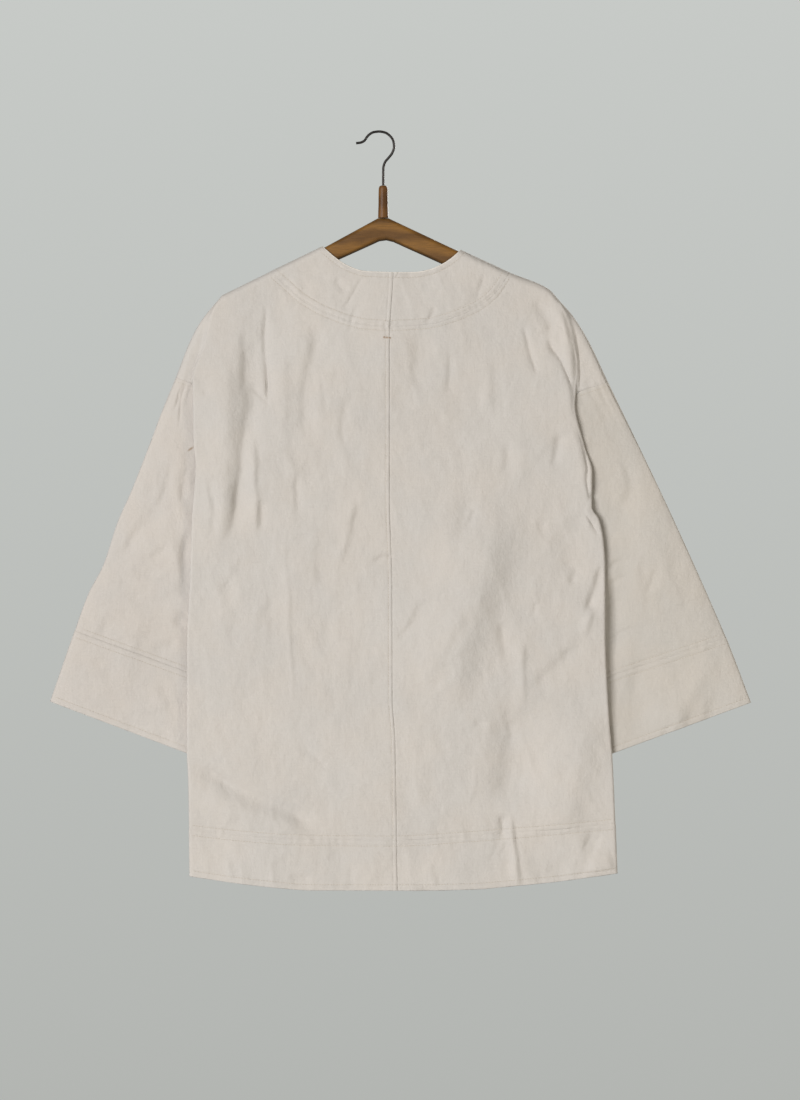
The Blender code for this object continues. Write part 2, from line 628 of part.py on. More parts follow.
def add_object(name, data, finish, collection):
    """Puts a mesh or curve in the jacket's collection under its sub-part's name."""
    made = bpy.data.objects.new(name, data)
    data.materials.append(material(finish))
    collection.objects.link(made)
    return made


def add_wall(name, points, thickness, collection, closed=False):
    """A sheet through a grid of world points, made a wall of that thickness."""
    rows, columns = points.shape[:2]
    across = columns if closed else columns - 1
    faces = []
    for row in range(rows - 1):
        for column in range(across):
            beside = (column + 1) % columns
            faces.append((row * columns + column, row * columns + beside,
                          (row + 1) * columns + beside, (row + 1) * columns + column))
    mesh = bpy.data.meshes.new(name)
    mesh.from_pydata(points.reshape(-1, 3).tolist(), [], faces)
    mesh.shade_smooth()
    made = add_object(name, mesh, "canvas", collection)
    solid = made.modifiers.new("wall", "SOLIDIFY")
    solid.thickness = thickness
    solid.offset = 0.0
    return made


def add_flat(name, grid, thickness, collection, back=True):
    """A wall from a grid of plan points and depths, on the back or the front."""
    y = -grid[..., 2] if back else grid[..., 2]
    add_wall(name, np.stack((grid[..., 0], y, grid[..., 1]), axis=-1), thickness, collection)


def build_cloth(collection):
    """Every sewn piece of the jacket."""
    for side in ("left", "right"):
        add_flat("back_" + side, back_grid(side), WALL, collection)
        add_flat("front_" + side, front_grid(side), WALL, collection, back=False)
        add_flat("collar_back_" + side, collar_grid(side), BAND_WALL, collection)
        neck, front = front_band_grids(side)
        add_flat("collar_front_" + side, neck, BAND_WALL, collection, back=False)
        add_flat("front_band_" + side, front, BAND_WALL, collection, back=False)
        add_flat("hem_back_" + side, hem_grid(side), BAND_WALL, collection)
        add_flat("hem_front_" + side, hem_grid(side, True), BAND_WALL, collection, back=False)
        sleeve = pull_back(close_rings(tube_grid(side, False)), CORNER_GAP)
        add_wall("sleeve_" + side, sleeve, WALL, collection, closed=True)
        cuff = pull_back(close_rings(tube_grid(side, True)))
        add_wall("cuff_" + side, cuff, BAND_WALL, collection, closed=True)


def build_hanger(collection):
    """The wooden arms, the turned collar on them and the wire hook."""
    outline = [(x * MM, z * MM) for x, z in ARMS_TOP + ARMS_BELOW]
    count = len(outline)
    half = HANGER_THICK / 2
    points = [(x, y, z) for y in (-half, half) for x, z in outline]
    faces = [tuple(range(count)), tuple(reversed(range(count, 2 * count)))]
    for start in range(count):
        end = (start + 1) % count
        faces.append((start, start + count, end + count, end))
    mesh = bpy.data.meshes.new("hanger_arms")
    mesh.from_pydata(points, [], faces)
    fix_outward(mesh)
    arms = add_object("hanger_arms", mesh, "wood", collection)
    edge = arms.modifiers.new("rounded edges", "BEVEL")
    edge.width = HANGER_EDGE
    edge.segments = 3
    edge.limit_method = "ANGLE"
    edge.angle_limit = math.radians(70)

    rows = [(0.0, NECK_PROFILE[0][1])] + list(NECK_PROFILE) + [(0.0, NECK_PROFILE[-1][1])]
    mesh = bpy.data.meshes.new("hanger_neck")
    mesh.from_pydata([(r * MM, 0.0, z * MM) for r, z in reversed(rows)],
                     [(start, start + 1) for start in range(len(rows) - 1)], [])
    neck = add_object("hanger_neck", mesh, "neck_wood", collection)
    neck.location.x = HOOK_X
    turn = neck.modifiers.new("turned", "SCREW")
    turn.steps = turn.render_steps = 20
    turn.use_merge_vertices = True
    turn.merge_threshold = 0.00001

    path = along(HOOK_PATH, np.linspace(0, 1, HOOK_POINTS))
    curve = bpy.data.curves.new("hanger_hook", "CURVE")
    curve.dimensions = "3D"
    curve.bevel_depth = HOOK_WIRE / 2
    curve.bevel_resolution = 2
    curve.use_fill_caps = True
    spline = curve.splines.new("POLY")
    spline.points.add(len(path) - 1)
    for point, (x, z) in zip(spline.points, path):
        point.co = (x, 0.0, z, 1.0)
    add_object("hanger_hook", curve, "steel", collection)


def fix_outward(mesh):
    """Turns a closed mesh's faces outward."""
    shape = bmesh.new()
    shape.from_mesh(mesh)
    bmesh.ops.recalc_face_normals(shape, faces=shape.faces)
    shape.to_mesh(mesh)
    shape.free()


def main():
    """Clears the scene and builds the jacket on its hanger."""
    for old in list(bpy.data.objects):
        bpy.data.objects.remove(old)
    collection = bpy.data.collections.new("wrap_jacket")
    bpy.context.scene.collection.children.link(collection)
    build_cloth(collection)
    build_hanger(collection)


main()
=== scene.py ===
"""Looks of the cotton wrap jacket on its wooden hanger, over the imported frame.

The jacket hangs as the part does: +Z up, its back towards -Y, and +X to the right as one looks at
the back. Each cloth piece is a fine grid of points in the plane of the jacket, with its depth
from that plane, and stands for the plain CAD solid of the same name.
"""

import math

import bmesh
import bpy
import numpy as np
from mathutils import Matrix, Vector

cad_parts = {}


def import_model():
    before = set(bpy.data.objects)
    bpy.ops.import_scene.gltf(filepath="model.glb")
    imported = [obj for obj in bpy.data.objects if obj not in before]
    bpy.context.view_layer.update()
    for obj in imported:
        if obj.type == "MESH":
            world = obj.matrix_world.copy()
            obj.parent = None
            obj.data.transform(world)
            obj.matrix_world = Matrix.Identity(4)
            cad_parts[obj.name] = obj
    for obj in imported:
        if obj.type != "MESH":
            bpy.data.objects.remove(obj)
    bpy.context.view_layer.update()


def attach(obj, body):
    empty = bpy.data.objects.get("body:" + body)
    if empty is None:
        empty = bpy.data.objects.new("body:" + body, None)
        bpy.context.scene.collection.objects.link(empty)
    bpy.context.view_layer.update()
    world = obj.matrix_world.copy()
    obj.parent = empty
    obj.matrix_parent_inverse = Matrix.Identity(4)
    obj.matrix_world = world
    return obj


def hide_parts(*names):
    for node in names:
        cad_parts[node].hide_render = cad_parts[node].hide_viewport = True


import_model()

# The part's own sizes, in metres
MM = 0.001
WALL = 1.2 * MM                 # heavy cotton canvas, with the ease of its weave
BAND_WALL = 1.8 * MM            # bands, hems and cuffs are double cloth
SEAM_GAP = 0.04 * MM            # sewn edges all but touch here, closer than the solids do
CORNER_GAP = 1.0 * MM           # added where the sleeve's seam goes under the body's fold
TOP_HALF = 9.2 * MM             # half of the jacket's depth over the hanger's arms
FOLD_DEPTH = 15.5 * MM          # from the middle plane to the body's folded edges
BODY_CROWN = 4.0 * MM           # how much further the middle of the body stands out
FOLD_RADIUS = 2.4 * MM          # of the cloth turning under at the body's edges
CAP_DEPTH = 6.2 * MM            # half depth of the dropped shoulder, outside the fold
CAP_FADE = 18 * MM              # from the body to where the dropped shoulder has its own depth
SLEEVE_HALF = 5.2 * MM          # half depth of a sleeve lying flat
ROUNDING = 9.0 * MM             # distance over which the cloth rounds over an edge
EDGE_CLOSED = 0.12 * MM         # the middle plane to the cloth that turns over a shoulder
LAP = 3.6 * MM                  # how far the upper front lies over the lower one
FRONT_INSET = 2.0 * MM          # the fronts' folded edges stay behind the back's
FRONT_RISE = 2.0 * MM           # the front hem ends this much above the back hem
CENTRE = 17.0 * MM              # x of the jacket's middle
BODY_HALF = 235 * MM            # from there to where the back's crown has fallen to nothing
DEEPENING = 130 * MM            # below the shoulder line, over which the body gets its depth
CROWN_FROM = 40 * MM            # the crown starts this far below the shoulder line
CROWN_OVER = 200 * MM           # and has its full height after this distance
FOLD_FADE = 30 * MM             # folds fade out over this distance below the shoulder line
LAP_FROM = 290 * MM             # the upper front starts to stand out this far below the origin
LAP_OVER = 90 * MM              # and lies over the lower one after this distance
LAP_INNER = 75 * MM             # x up to which the upper front stands out in full
LAP_FADE = 110 * MM             # and the distance over which it comes back
TURNED_DEPTH = 8.2 * MM         # of the armhole seam where it has gone under the body's fold
UNDER_ARM_DEPTH = 4.0 * MM      # of its end under the arm
SLEEVE_TUCK = 0.1 * MM          # added to the gap where the sleeve lies behind the body
FRONT_SHIFT = (14, 26)          # the sleeve's front has the same folds, moved by this in mm
HOOK_WIRE = 3.2 * MM
HOOK_X = 5.0 * MM
HANGER_THICK = 13.0 * MM
HANGER_EDGE = 5.5 * MM
NECK_SIDES = 48
NECK_RINGS = 40

# Outlines in millimetres, one row for each point of the shape: x, z
CENTRE_BACK = ((17.6, -175.8), (12.8, -256), (12.9, -460), (16, -560), (16.4, -710),
               (19.8, -760), (22.8, -950))
NECKLINE = {
    "left": ((17.6, -175.8), (-19, -174.1), (-41.5, -166.3), (-56, -156.5), (-71.5, -143.1)),
    "right": ((17.6, -175.8), (44.8, -175.5), (66, -171.3), (79, -165.5), (91.9, -156.9),
              (102.3, -147.5)),
}
BAND_SEAM = {
    "left": ((12.8, -241.9), (-17.8, -240), (-42.8, -233.8), (-74, -221.3), (-99, -206.3),
             (-118, -189), (-135.3, -174)),
    "right": ((12.8, -241.9), (38, -241), (63.5, -238.8), (94.8, -230), (123.5, -217.1),
              (144.8, -200), (161.8, -175)),
}
SHOULDER = {
    "left": ((-71.5, -143.1), (-135.3, -174), (-196.5, -204)),
    "right": ((102.3, -147.5), (161.8, -175), (211, -195.6), (224.8, -210)),
}
OUTLINE = {
    "left": ((-196.5, -204), (-222.8, -236.3), (-235.3, -259), (-254, -306.3), (-271.5, -349),
             (-286.5, -389), (-311.5, -452.5), (-326.5, -486), (-345.3, -542), (-364, -578),
             (-380.3, -622.5), (-411.5, -712.5)),
    "right": ((224.8, -210), (241.6, -229), (261, -260), (286, -312.5), (308.5, -359),
              (333.5, -411), (353.5, -453), (370.7, -490), (388.4, -529), (413.3, -585),
              (434.1, -633.3), (464.8, -713.8)),
}
OUTLINE_ARMHOLE = 3             # the outline's row that is the armhole's outer end
# The fold beside the dropped shoulder, then the body's folded edge down to the hem
BODY_EDGE = {
    "left": ((-196.5, -204), (-207.8, -225), (-215.9, -264), (-226.5, -291), (-232.8, -311),
             (-231.5, -389), (-229, -415), (-234, -491), (-236.5, -566), (-239.9, -640),
             (-239.9, -779), (-238.5, -805), (-236.5, -930)),
    "right": ((224.8, -210), (231.5, -224), (238, -243), (243, -268), (246, -295),
              (246, -321), (244.5, -340), (256, -391), (266, -425), (265.6, -469), (274.8, -485),
              (279.8, -509), (282.3, -545), (282.3, -622), (287.3, -736), (291, -780),
              (297.3, -927)),
}
# Where the armhole seam leaves the outline, goes under the body's fold and ends under the arm
ARMHOLE = {
    "left": {"outer": (-254, -306.3), "fold": (-234, -314), "under": (-146.5, -466)},
    "right": {"outer": (286, -312.5), "fold": (247.5, -325), "under": (178.5, -466)},
}
SIDE_SEAM = {
    "left": ((-146.5, -466), (-134, -535), (-174, -795), (-196.5, -930)),
    "right": ((178.5, -466), (182, -535), (227, -795), (254.8, -926)),
}
SLEEVE_INNER = {
    "left": ((-150, -468), (-161.5, -510), (-176.5, -699), (-192.8, -795)),
    "right": ((182, -468), (193.5, -510), (227, -702), (243.5, -795)),
}
CUFF_SEAM = {"left": ((-376.5, -625), (-176.5, -699)), "right": ((434.1, -633), (227, -702))}
CUFF_HEM = {"left": ((-411.5, -712.5), (-192.8, -795)), "right": ((464.8, -713.8), (243.5, -795))}
HEM_SEAM = ((-240, -872.5), (-172.8, -880), (-99, -885), (21, -886.3), (117.3, -880.6),
            (217.3, -872.5), (294, -865.6))
HEM_LINE = ((-240, -930), (-207.8, -935), (-172.8, -940), (-127.8, -945), (-82.8, -948.1),
            (51, -948.1), (117.9, -946.8), (174.8, -942), (217.3, -937.9), (297.3, -926.8))
# The front band's seam and its neck edge, level with each other: seam x, z and edge x, z
FRONT_BAND = {
    "left": ((-135.3, -174, -71.5, -143.1), (-104, -235, -44, -211), (-73, -301, -11, -283),
             (-43, -371, 21, -358), (-19, -441, 43, -434), (-8, -510, 57, -508),
             (-8, -700, 57, -700), (-8, -951, 57, -951)),
    "right": ((161.8, -175, 102.3, -147.5), (131, -238, 71, -214), (101, -304, 39, -286),
              (71, -374, 9, -361), (49, -443, -14, -437), (57, -512, -8, -510),
              (57, -700, -8, -700), (57, -951, -8, -951)),
}

# The hanger's arms, cut from one board: its upper edge and its lower one, x, z
ARMS_TOP = ((-192, -206.5), (-135, -176.4), (-71.5, -145.3), (-1.4, -107), (11.4, -107),
            (102.3, -149.9), (162, -177.8), (204, -198.5))
ARMS_BELOW = ((202, -220.5), (162, -202), (79.8, -165), (28, -141.6), (18, -137), (9, -134.8),
              (0, -136), (-9, -140.2), (-52.8, -160), (-135, -200.5), (-188, -228))
# The turned collar on top of the arms, from its foot up: radius, z
NECK_PROFILE = ((6.5, -106.6), (6.3, -99), (6.0, -90), (5.9, -79), (5.7, -71), (4.8, -67.2),
                (2.6, -66))
# The wire hook, from its tip over the curl to the shank
HOOK_PATH = ((-29, -13), (-23.5, -12.3), (-18.5, -9.8), (-15.2, -5), (-12, -1.8), (-7, 0.8),
             (0, 1.6), (7, 0.4), (13.2, -3.6), (17.6, -10), (18.6, -17.5), (16.4, -25),
             (11.6, -31.5), (7.2, -37), (5.2, -44), (5, -54), (5, -65.6))
HOOK_POINTS = 110

# A panel's length runs from 0 at its top to 1 at its hem seam. These are places on it
AT_TURN = 0.135                 # where the cloth beside the shoulder starts to turn under
AT_FOLD = 0.17                  # the armhole's visible end
AT_ARM = 0.41                   # the point under the arm
TURN_PLACES = (AT_TURN, AT_FOLD, 0.2, 0.235)
FOLD_TURNS = (0.0, 95.0, 150.0, 180.0)      # degrees turned under at those places
HEM_SHARE = 0.09                # of a panel's length, carried on down to the hem
ARMHOLE_CROWDING = 0.6          # below 1, so that the rows meet the armhole closer near its fold
# Shares of the armhole's hidden way, from the fold to the point under the arm
TUCKED = 1 / 6                  # by here the seam has its depth under the fold
UNDER_FROM = 0.35               # from here it comes in towards its depth under the arm
SIDE_OVER = 0.1                 # of a panel's length, below the arm, over which its seam closes
RETURN_LEVEL = 0.5              # of the cloth turned under lies level before it goes to its seam
# Round one side of a sleeve: the places on a body panel that it meets, and its own further down
SLEEVE_JOINS = (0.0, 0.004, 0.013, 0.028, 0.055, 0.095, 0.135, 0.17, 0.2, 0.235, 0.275, 0.32,
                0.365, 0.395, 0.406, 0.41)
SLEEVE_ACROSS = (0.0, 0.012, 0.035, 0.07, 0.115, 0.17, 0.235, 0.305, 0.38, 0.46, 0.545, 0.64,
                 0.75, 0.87, 0.985, 1.0)
JOIN_AT_FOLD = 7
PLAN_FOLLOWS = 0.4              # of a sleeve's length, over which its plan leaves the armhole's
DEPTH_FOLLOWS = 0.22            # and its depth
SLEEVE_SQUARE = 4               # the power that keeps a flat sleeve full up to its edges
SLEEVE_CALM = 0.7               # and the one by which its creases fade there
SHOULDER_WAVES = 0.5            # the dropped shoulder's share of the cloth's small waves

# The fine grids: their cells, and the shares at the start and the end that have closer steps
BACK_ROWS = (270, 0.02, 0.02)
FRONT_ROWS = (170, 0.02, 0.02)
BAND_ACROSS = (74, 0.045)       # of a back panel below the neck band
COLLAR_ROWS = (18, 0.14, 0.18)
BAND_ROWS = (14, 0.18, 0.14)
HEM_ROWS = (18, 0.2, 0.18)
SLEEVE_ROWS = (120, 0.0, 0.036)
CUFF_ROWS = (24, 0.14, 0.13)
SEAM_STEPS = 12                 # the closer steps at one end
CAP_ACROSS = 34                 # cells of a back panel below the open shoulder
FRONT_ACROSS = 64
ARC_CELLS = 8                   # round the body's folded edge
RETURN_CELLS = 14               # across the cloth turned under
SLEEVE_SIDE = 60                # round one side of a sleeve
EDGE_COLUMNS = 2                # of them at a folded edge, that no row of stitches runs over
OUTER_COLUMNS = {"sleeve_": 8, "cuff_": 3}  # and at the outer one, for the lower rows
EDGE_PLACES = np.linspace(0.0, 1.0, 41)     # that an edge's curve is measured at

# The cut of each kind of piece, all round where it is a tube: width, length and flat area. Then
# what carries it: the hanger, or the piece of that kind on its own side
CUTS = {
    "back": (0.36, 0.70, 0.211, "hanger_arms"), "front": (0.36, 0.70, 0.181, "hanger_arms"),
    "collar_back": (0.17, 0.09, 0.0095, "hanger_arms"),
    "collar_front": (0.08, 0.14, 0.0075, "hanger_arms"),
    "front_band": (0.068, 0.75, 0.048, "hanger_arms"),
    "hem_back": (0.33, 0.066, 0.0205, "back"), "hem_front": (0.28, 0.066, 0.018, "front"),
    "sleeve": (0.50, 0.33, 0.108, "back"), "cuff": (0.50, 0.10, 0.042, "sleeve"),
}

# Creases of the back, read from the photograph, in millimetres: the half width, how far the middle
# rises towards the viewer, below nought for a trough, and the points of its line, x, z
BACK_CREASES = {
    "soft": (
        (13, -2.2, (-154, -248), (-152, -298), (-154, -360)),
        (10, 1.3, (-124, -260), (-119, -335), (-124, -398)),
        (6, -1, (-216, -422), (-206, -472), (-212, -520)),
        (5, -0.9, (-104, -422), (-99, -485)),
        (9, -0.7, (-176, -585), (-184, -660)),
        (9, 0.6, (-34, -610), (-41, -698)),
        (7, -0.8, (-99, -766), (-61, -800)),
        (6, -0.8, (91, -266), (84, -335)),
        (8, 1, (134, -280), (141, -360)),
        (6, -0.9, (161, -385), (154, -435)),
        (5, -1, (226, -372), (216, -422)),
        (5, 0.9, (-192, -910), (-184, -942)),
        (5, -0.8, (-34, -912), (-36, -945)),
        (6, 0.9, (64, -908), (69, -942)),
        (9, -3, (-158, -229), (-166, -260), (-167, -311), (-162, -346), (-166, -384),
         (-176, -445), (-181, -486), (-197, -524)),
        (17, 3, (-196, -268), (-190, -360), (-196, -460), (-212, -542)),
        (7, 1.6, (-159, -372), (-156, -435), (-155, -510)),
        (8, -1.6, (-91, -226), (-79, -268), (-88, -305), (-94, -342), (-89, -394)),
        (4, -0.8, (-71, -305), (-66, -350)),
        (5, -1.2, (-41, -318), (-46, -384), (-41, -405)),
        (4, -0.7, (-220, -322), (-215, -330)),
        (8, -0.9, (-170, -535), (-197, -578)),
        (6, -1, (-149, -456), (-149, -498)),
        (7, -0.6, (-139, -570), (-134, -618), (-136, -652)),
        (8, -0.7, (-75, -498), (-73, -576)),
        (7, -0.6, (-63, -589), (-69, -655)),
        (6, 1.4, (-28, -456), (-35, -486), (-54, -549)),
        (5, -0.9, (2, -674), (-10, -692)),
        (4, -0.8, (-104, -172), (-63, -184)),
        (4, -0.9, (-58, -182), (-40, -204)),
        (3, -0.7, (-26, -210), (-41, -255)),
        (3.5, -0.9, (69, -215), (64, -230), (56, -240)),
        (12, -1.3, (55, -238), (49, -285), (39, -335)),
        (7, -1.4, (188, -210), (206, -225), (221, -255)),
        (6, 2.2, (216, -205), (230, -238), (237, -275), (240, -308)),
        (6, -3, (235, -218), (246, -260), (246, -321), (254, -362), (265, -405), (268, -460)),
        (4, 0.8, (261, -466), (264, -500)),
        (6, -0.8, (200, -399), (205, -414)),
        (8, -1.3, (114, -456), (92, -514)),
        (4, -0.8, (121, -466), (105, -504)),
        (36, 6.2, (150, -455), (124, -572), (91, -672), (81, -735)),
        (11, -1, (127, -585), (92, -650), (65, -706)),
        (7, -1.2, (59, -580), (22, -642)),
        (3, -0.8, (71, -558), (55, -564)),
        (7, -1.4, (150, -611), (161, -661)),
        (5, -0.9, (196, -586), (192, -611)),
        (6, -1.2, (246, -542), (237, -568)),
        (6, -2.8, (277, -535), (268, -572), (258, -608)),
        (7, 1.2, (267, -590), (256, -635)),
        (22, -1.6, (226, -485), (241, -520), (236, -560)),
        (5, -1, (200, -485), (210, -510)),
        (5, 1.3, (179, -628), (180, -685), (177, -730)),
        (10, -1.6, (254, -635), (221, -670), (187, -700)),
        (6, -1, (117, -738), (138, -738)),
        (5, -1, (161, -735), (165, -760)),
        (28, -4.2, (171, -698), (168, -785), (158, -854)),
        (34, 3.4, (264, -710), (241, -810), (226, -898)),
        (6, -2, (152, -850), (154, -870), (152, -890)),
        (4, 2.1, (164, -848), (166, -882), (170, -905), (176, -945)),
        (8, 1.2, (258, -921), (297, -912)),
        (12, -1.7, (256, -885), (276, -895)),
        (9, -1.2, (207, -912), (238, -920), (271, -910)),
        (10, -3, (-242, -790), (-216, -800), (-179, -822), (-146, -838), (-109, -850), (-66, -888)),
        (15, 1.8, (-234, -825), (-193, -842), (-136, -855), (-86, -892)),
        (8, -1, (-114, -932), (-84, -932)),
        (5, 1.7, (-9, -946), (26, -945), (61, -946)),
        (7, 1.3, (226, -925), (276, -920), (297, -925)),
    ),
    "sharp": (
        (4, -2.2, (-142, -208), (-142, -284), (-139, -352)),
        (3, -1, (-160, -318), (-139, -342)),
        (3.5, 0.8, (-120, -491), (-116, -539), (-114, -621), (-106, -725)),
        (3, -1.2, (-10, -539), (6, -531), (21, -529)),
        (3, -1.1, (-19, -176), (-46, -224)),
        (3, -1.5, (131, -174), (126, -192), (120, -212)),
        (5, -2, (180, -235), (187, -266), (198, -312)),
        (4, -3, (208, -252), (215, -269), (226, -286), (235, -305), (242, -328)),
        (3.5, -1.3, (207, -258), (212, -246), (222, -242), (234, -252)),
        (3.5, -1.4, (258, -452), (276, -468)),
        (3.5, -1.8, (256, -475), (264, -490), (276, -508)),
        (3.5, -1.8, (246, -360), (255, -398), (261, -438), (264, -470)),
        (3, -1.2, (161, -885), (155, -898), (148, -909)),
        (3, -0.9, (151, -885), (146, -898), (138, -910)),
        (3, 0.8, (124, -782), (119, -810), (112, -842)),
    ),
}
# Creases of the sleeves, in the same form
SLEEVE_CREASES = {
    "soft": (
        (17, 1.7, (374, -710), (362, -770)),
        (11, -1.6, (421, -698), (408, -758)),
        (13, -1.6, (327, -635), (312, -765)),
        (20, 1.5, (326, -422), (351, -510), (361, -598)),
        (4, -0.9, (-289, -466), (-324, -535)),
        (4, -1, (-258, -422), (-276, -466)),
        (5, -1, (-262, -516), (-299, -542)),
        (5, -0.9, (-334, -598), (-354, -635)),
        (5, 0.9, (-299, -635), (-326, -662)),
        (5, -0.9, (-254, -635), (-286, -650)),
        (5, -0.9, (361, -460), (371, -510)),
        (6, -0.8, (328, -535), (336, -598)),
        (4, -0.8, (284, -635), (321, -620), (338, -628)),
        (6, -1.5, (-264, -445), (-299, -498), (-346, -550)),
        (8, -1.6, (-239, -490), (-244, -535), (-243, -590)),
        (7, -1.1, (-324, -575), (-286, -588), (-246, -585)),
        (8, 0.9, (-286, -616), (-324, -635)),
        (9, -0.9, (-359, -654), (-334, -690)),
        (8, 0.9, (-286, -685), (-269, -725)),
        (10, -2.8, (292, -522), (290, -635), (298, -758)),
        (3.5, -0.9, (284, -545), (304, -536), (318, -542)),
        (3.5, -0.8, (284, -565), (314, -554)),
        (5, -0.9, (388, -535), (391, -568)),
        (10, 1, (321, -585), (361, -572), (388, -590)),
        (6, -1, (-313, -546), (-292, -551), (-273, -552)),
        (7, -1.1, (-239, -600), (-255, -620)),
        (10, 0.9, (-286, -372), (-292, -422), (-304, -466)),
        (7, -1.3, (280, -319), (288, -350), (294, -379)),
        (8, -1.4, (306, -409), (315, -449), (290, -479)),
        (7, -1.2, (344, -546), (336, -580)),
        (12, 1.3, (427, -644), (406, -680), (387, -714), (360, -754)),
    ),
    "sharp": (
        (3.5, -1.4, (-240, -330), (-245, -360), (-243, -392)),
        (3.5, -1, (-249, -325), (-253, -360)),
        (3.5, -1.3, (366, -740), (355, -760)),
        (4, -1.5, (-235, -422), (-244, -450), (-248, -470)),
        (4, -0.8, (407, -650), (430, -640)),
    ),
}
# Creases of the front, which the photograph hides: like those of the back, and as uneven
FRONT_CREASES = {
    "soft": (
        (8, -2.6, (-158, -235), (-160, -300), (-150, -370)),
        (9, -2.4, (-150, -380), (-170, -440), (-176, -500)),
        (6, -1.4, (-196, -250), (-200, -300), (-190, -340)),
        (9, 1.6, (-98, -300), (-104, -360), (-120, -420)),
        (11, -1.8, (-205, -560), (-180, -600), (-150, -640)),
        (8, -1.3, (-60, -560), (-48, -640)),
        (9, -1.2, (-190, -700), (-150, -735)),
        (10, 1.1, (-120, -760), (-70, -800)),
        (6, -1, (-40, -700), (-36, -760)),
        (7, -2.4, (186, -236), (190, -290), (178, -330)),
        (6, -2.2, (205, -240), (222, -268), (232, -300)),
        (8, -2, (214, -330), (226, -400), (224, -460)),
        (10, 1.7, (150, -330), (166, -380), (168, -430)),
        (12, -2, (240, -560), (222, -630), (190, -680)),
        (10, 1.8, (120, -560), (116, -640), (96, -700)),
        (6, -1.3, (88, -590), (80, -660)),
        (7, -1.2, (160, -500), (172, -540), (166, -580)),
        (11, -1.3, (210, -740), (160, -772)),
        (5, 1, (120, -780), (132, -830)),
        (12, -2.2, (-225, -800), (-180, -812), (-140, -838)),
        (12, -2, (270, -800), (232, -812), (190, -835)),
        (5, 1.2, (-60, -880), (-58, -930)),
        (5, -1, (150, -884), (146, -934)),
    ),
    "sharp": (
        (4, -1.3, (-128, -250), (-120, -330)),
        (4, 1.2, (-90, -520), (-88, -600), (-72, -690)),
        (4, -1, (128, -300), (120, -350)),
    ),
}

# How creases and small rumples lie in the cloth. A crease runs along its listed points
CREASE_FADE = 0.28              # of a crease's length, over which it fades at each end
CREASE_STEPS = 7                # straight steps between two listed points
CREASE_REACH = 3.2              # half widths from its line to where it has come to nothing
CREASE_GAIN = 1.7               # the listed rises are those of the crease's middle, pressed flat
SHARP_FALL = 1.6                # how steeply a sharp crease falls from its line
SHARP_ROUND = 0.2               # and how much of its half width is round on top
NARROW_CREASE = 8               # half width in millimetres. Wider creases are less uneven
WANDER = 1.8 * MM               # how far a crease strays from its line
WANDER_SIZE = 15 * MM           # waves that it strays and changes in, for the narrowest one
UNEVEN_WIDTH = 0.4
UNEVEN_HEIGHT = 0.5
CREASE_LEAN = 0.42              # how much steeper the upper left wall of a trough is
LEAN_WAY = (0.86, -0.51)        # the way that creases lean: right and down
# Seeds of what is uneven: a crease's straying both ways, its width and its height, and the waves
# of each surface
STRAY_SEEDS = (301, 302)
WIDTH_SEED = 303
HEIGHT_SEED = 304
WAVE_SEEDS = {"back": 0, "front": 20, "shoulder": 40, "sleeve back": 60, "sleeve front": 80}
LATTICE = 48                    # waves repeat after this many of their size
# Size, height and seed of the rumples, which slant, and are longer down the cloth than across it
RUMPLES = ((64 * MM, 1.0 * MM, 3), (31 * MM, 0.38 * MM, 5), (13 * MM, 0.20 * MM, 8))
RUMPLE_SLANT = 0.3
RUMPLE_LENGTH = 1.8
# Fine wrinkles, in patches: the way they run in degrees from level, their width and height
WRINKLES = ((80, 7.5 * MM, 0.24 * MM), (46, 9 * MM, 0.20 * MM), (116, 7 * MM, 0.17 * MM))
WRINKLE_LENGTH = 4.5            # of their width
WRINKLE_SEED = 100
WRINKLE_COVER = (1.6, 0.45)     # how sharply their patches end, and how much they cover
CRUMPLES = ((36 * MM, 1.5 * MM), (19 * MM, 0.75 * MM))   # size and height, with sharp ridges
CRUMPLE_RIDGE = 0.75            # the power that sharpens them
CRUMPLE_SEED = 200
CRUMPLE_COVER = (1.5, 0.7)
PATCH_SIZE = 80 * MM
PATCH_SEED = 7                  # added to the seed of what the patches hold

# Stitched seams. A join has a groove with a row on either side, and a hem a row inside its edge
SEAM_SINK = 0.35 * MM           # depth of the groove
SEAM_REACH = 1.4 * MM
ROW_BY_JOIN = 6.5 * MM          # how far the rows of stitches are from a seam or an edge
ROW_BY_HEM = 7.5 * MM
ROW_BY_NECK = 6.0 * MM
ROW_BY_CENTRE = 4.5 * MM
ROW_BY_ARMHOLE = 5.0 * MM
ROW_DEPTH = 0.42 * MM           # how far a row draws the cloth in
ROW_REACH = 1.3 * MM
PUFF = 0.28 * MM                # how far the cloth stands out between the rows
PUFF_REACH = 2.4 * MM
PUCKER = 0.42 * MM              # height of the small ripples that a stitched seam draws in
PUCKER_REACH = 6 * MM
PUCKER_STEP = 1.45 * MM         # along the seam, for each radian of the ripples
PUCKER_DRIFT = (2.3, 9.3 * MM)  # their steps drift by so many radians, in longer waves
PUCKER_SWELL = (0.6, 0.4, 23 * MM)          # their mean share, how it swells, and over what length
HEM_PUCKER = 0.5                # a hem's ripples beside a join's
ONE_SIDED = 4                   # how sharply a row on one side only ends at its seam
LAPPED = 1.4 * MM               # how far a band is sewn over its neighbour's edge
PRESSED = 0.28 * MM             # how far that edge is pressed in
PRESSED_OVER = 0.1              # of the band's own depth
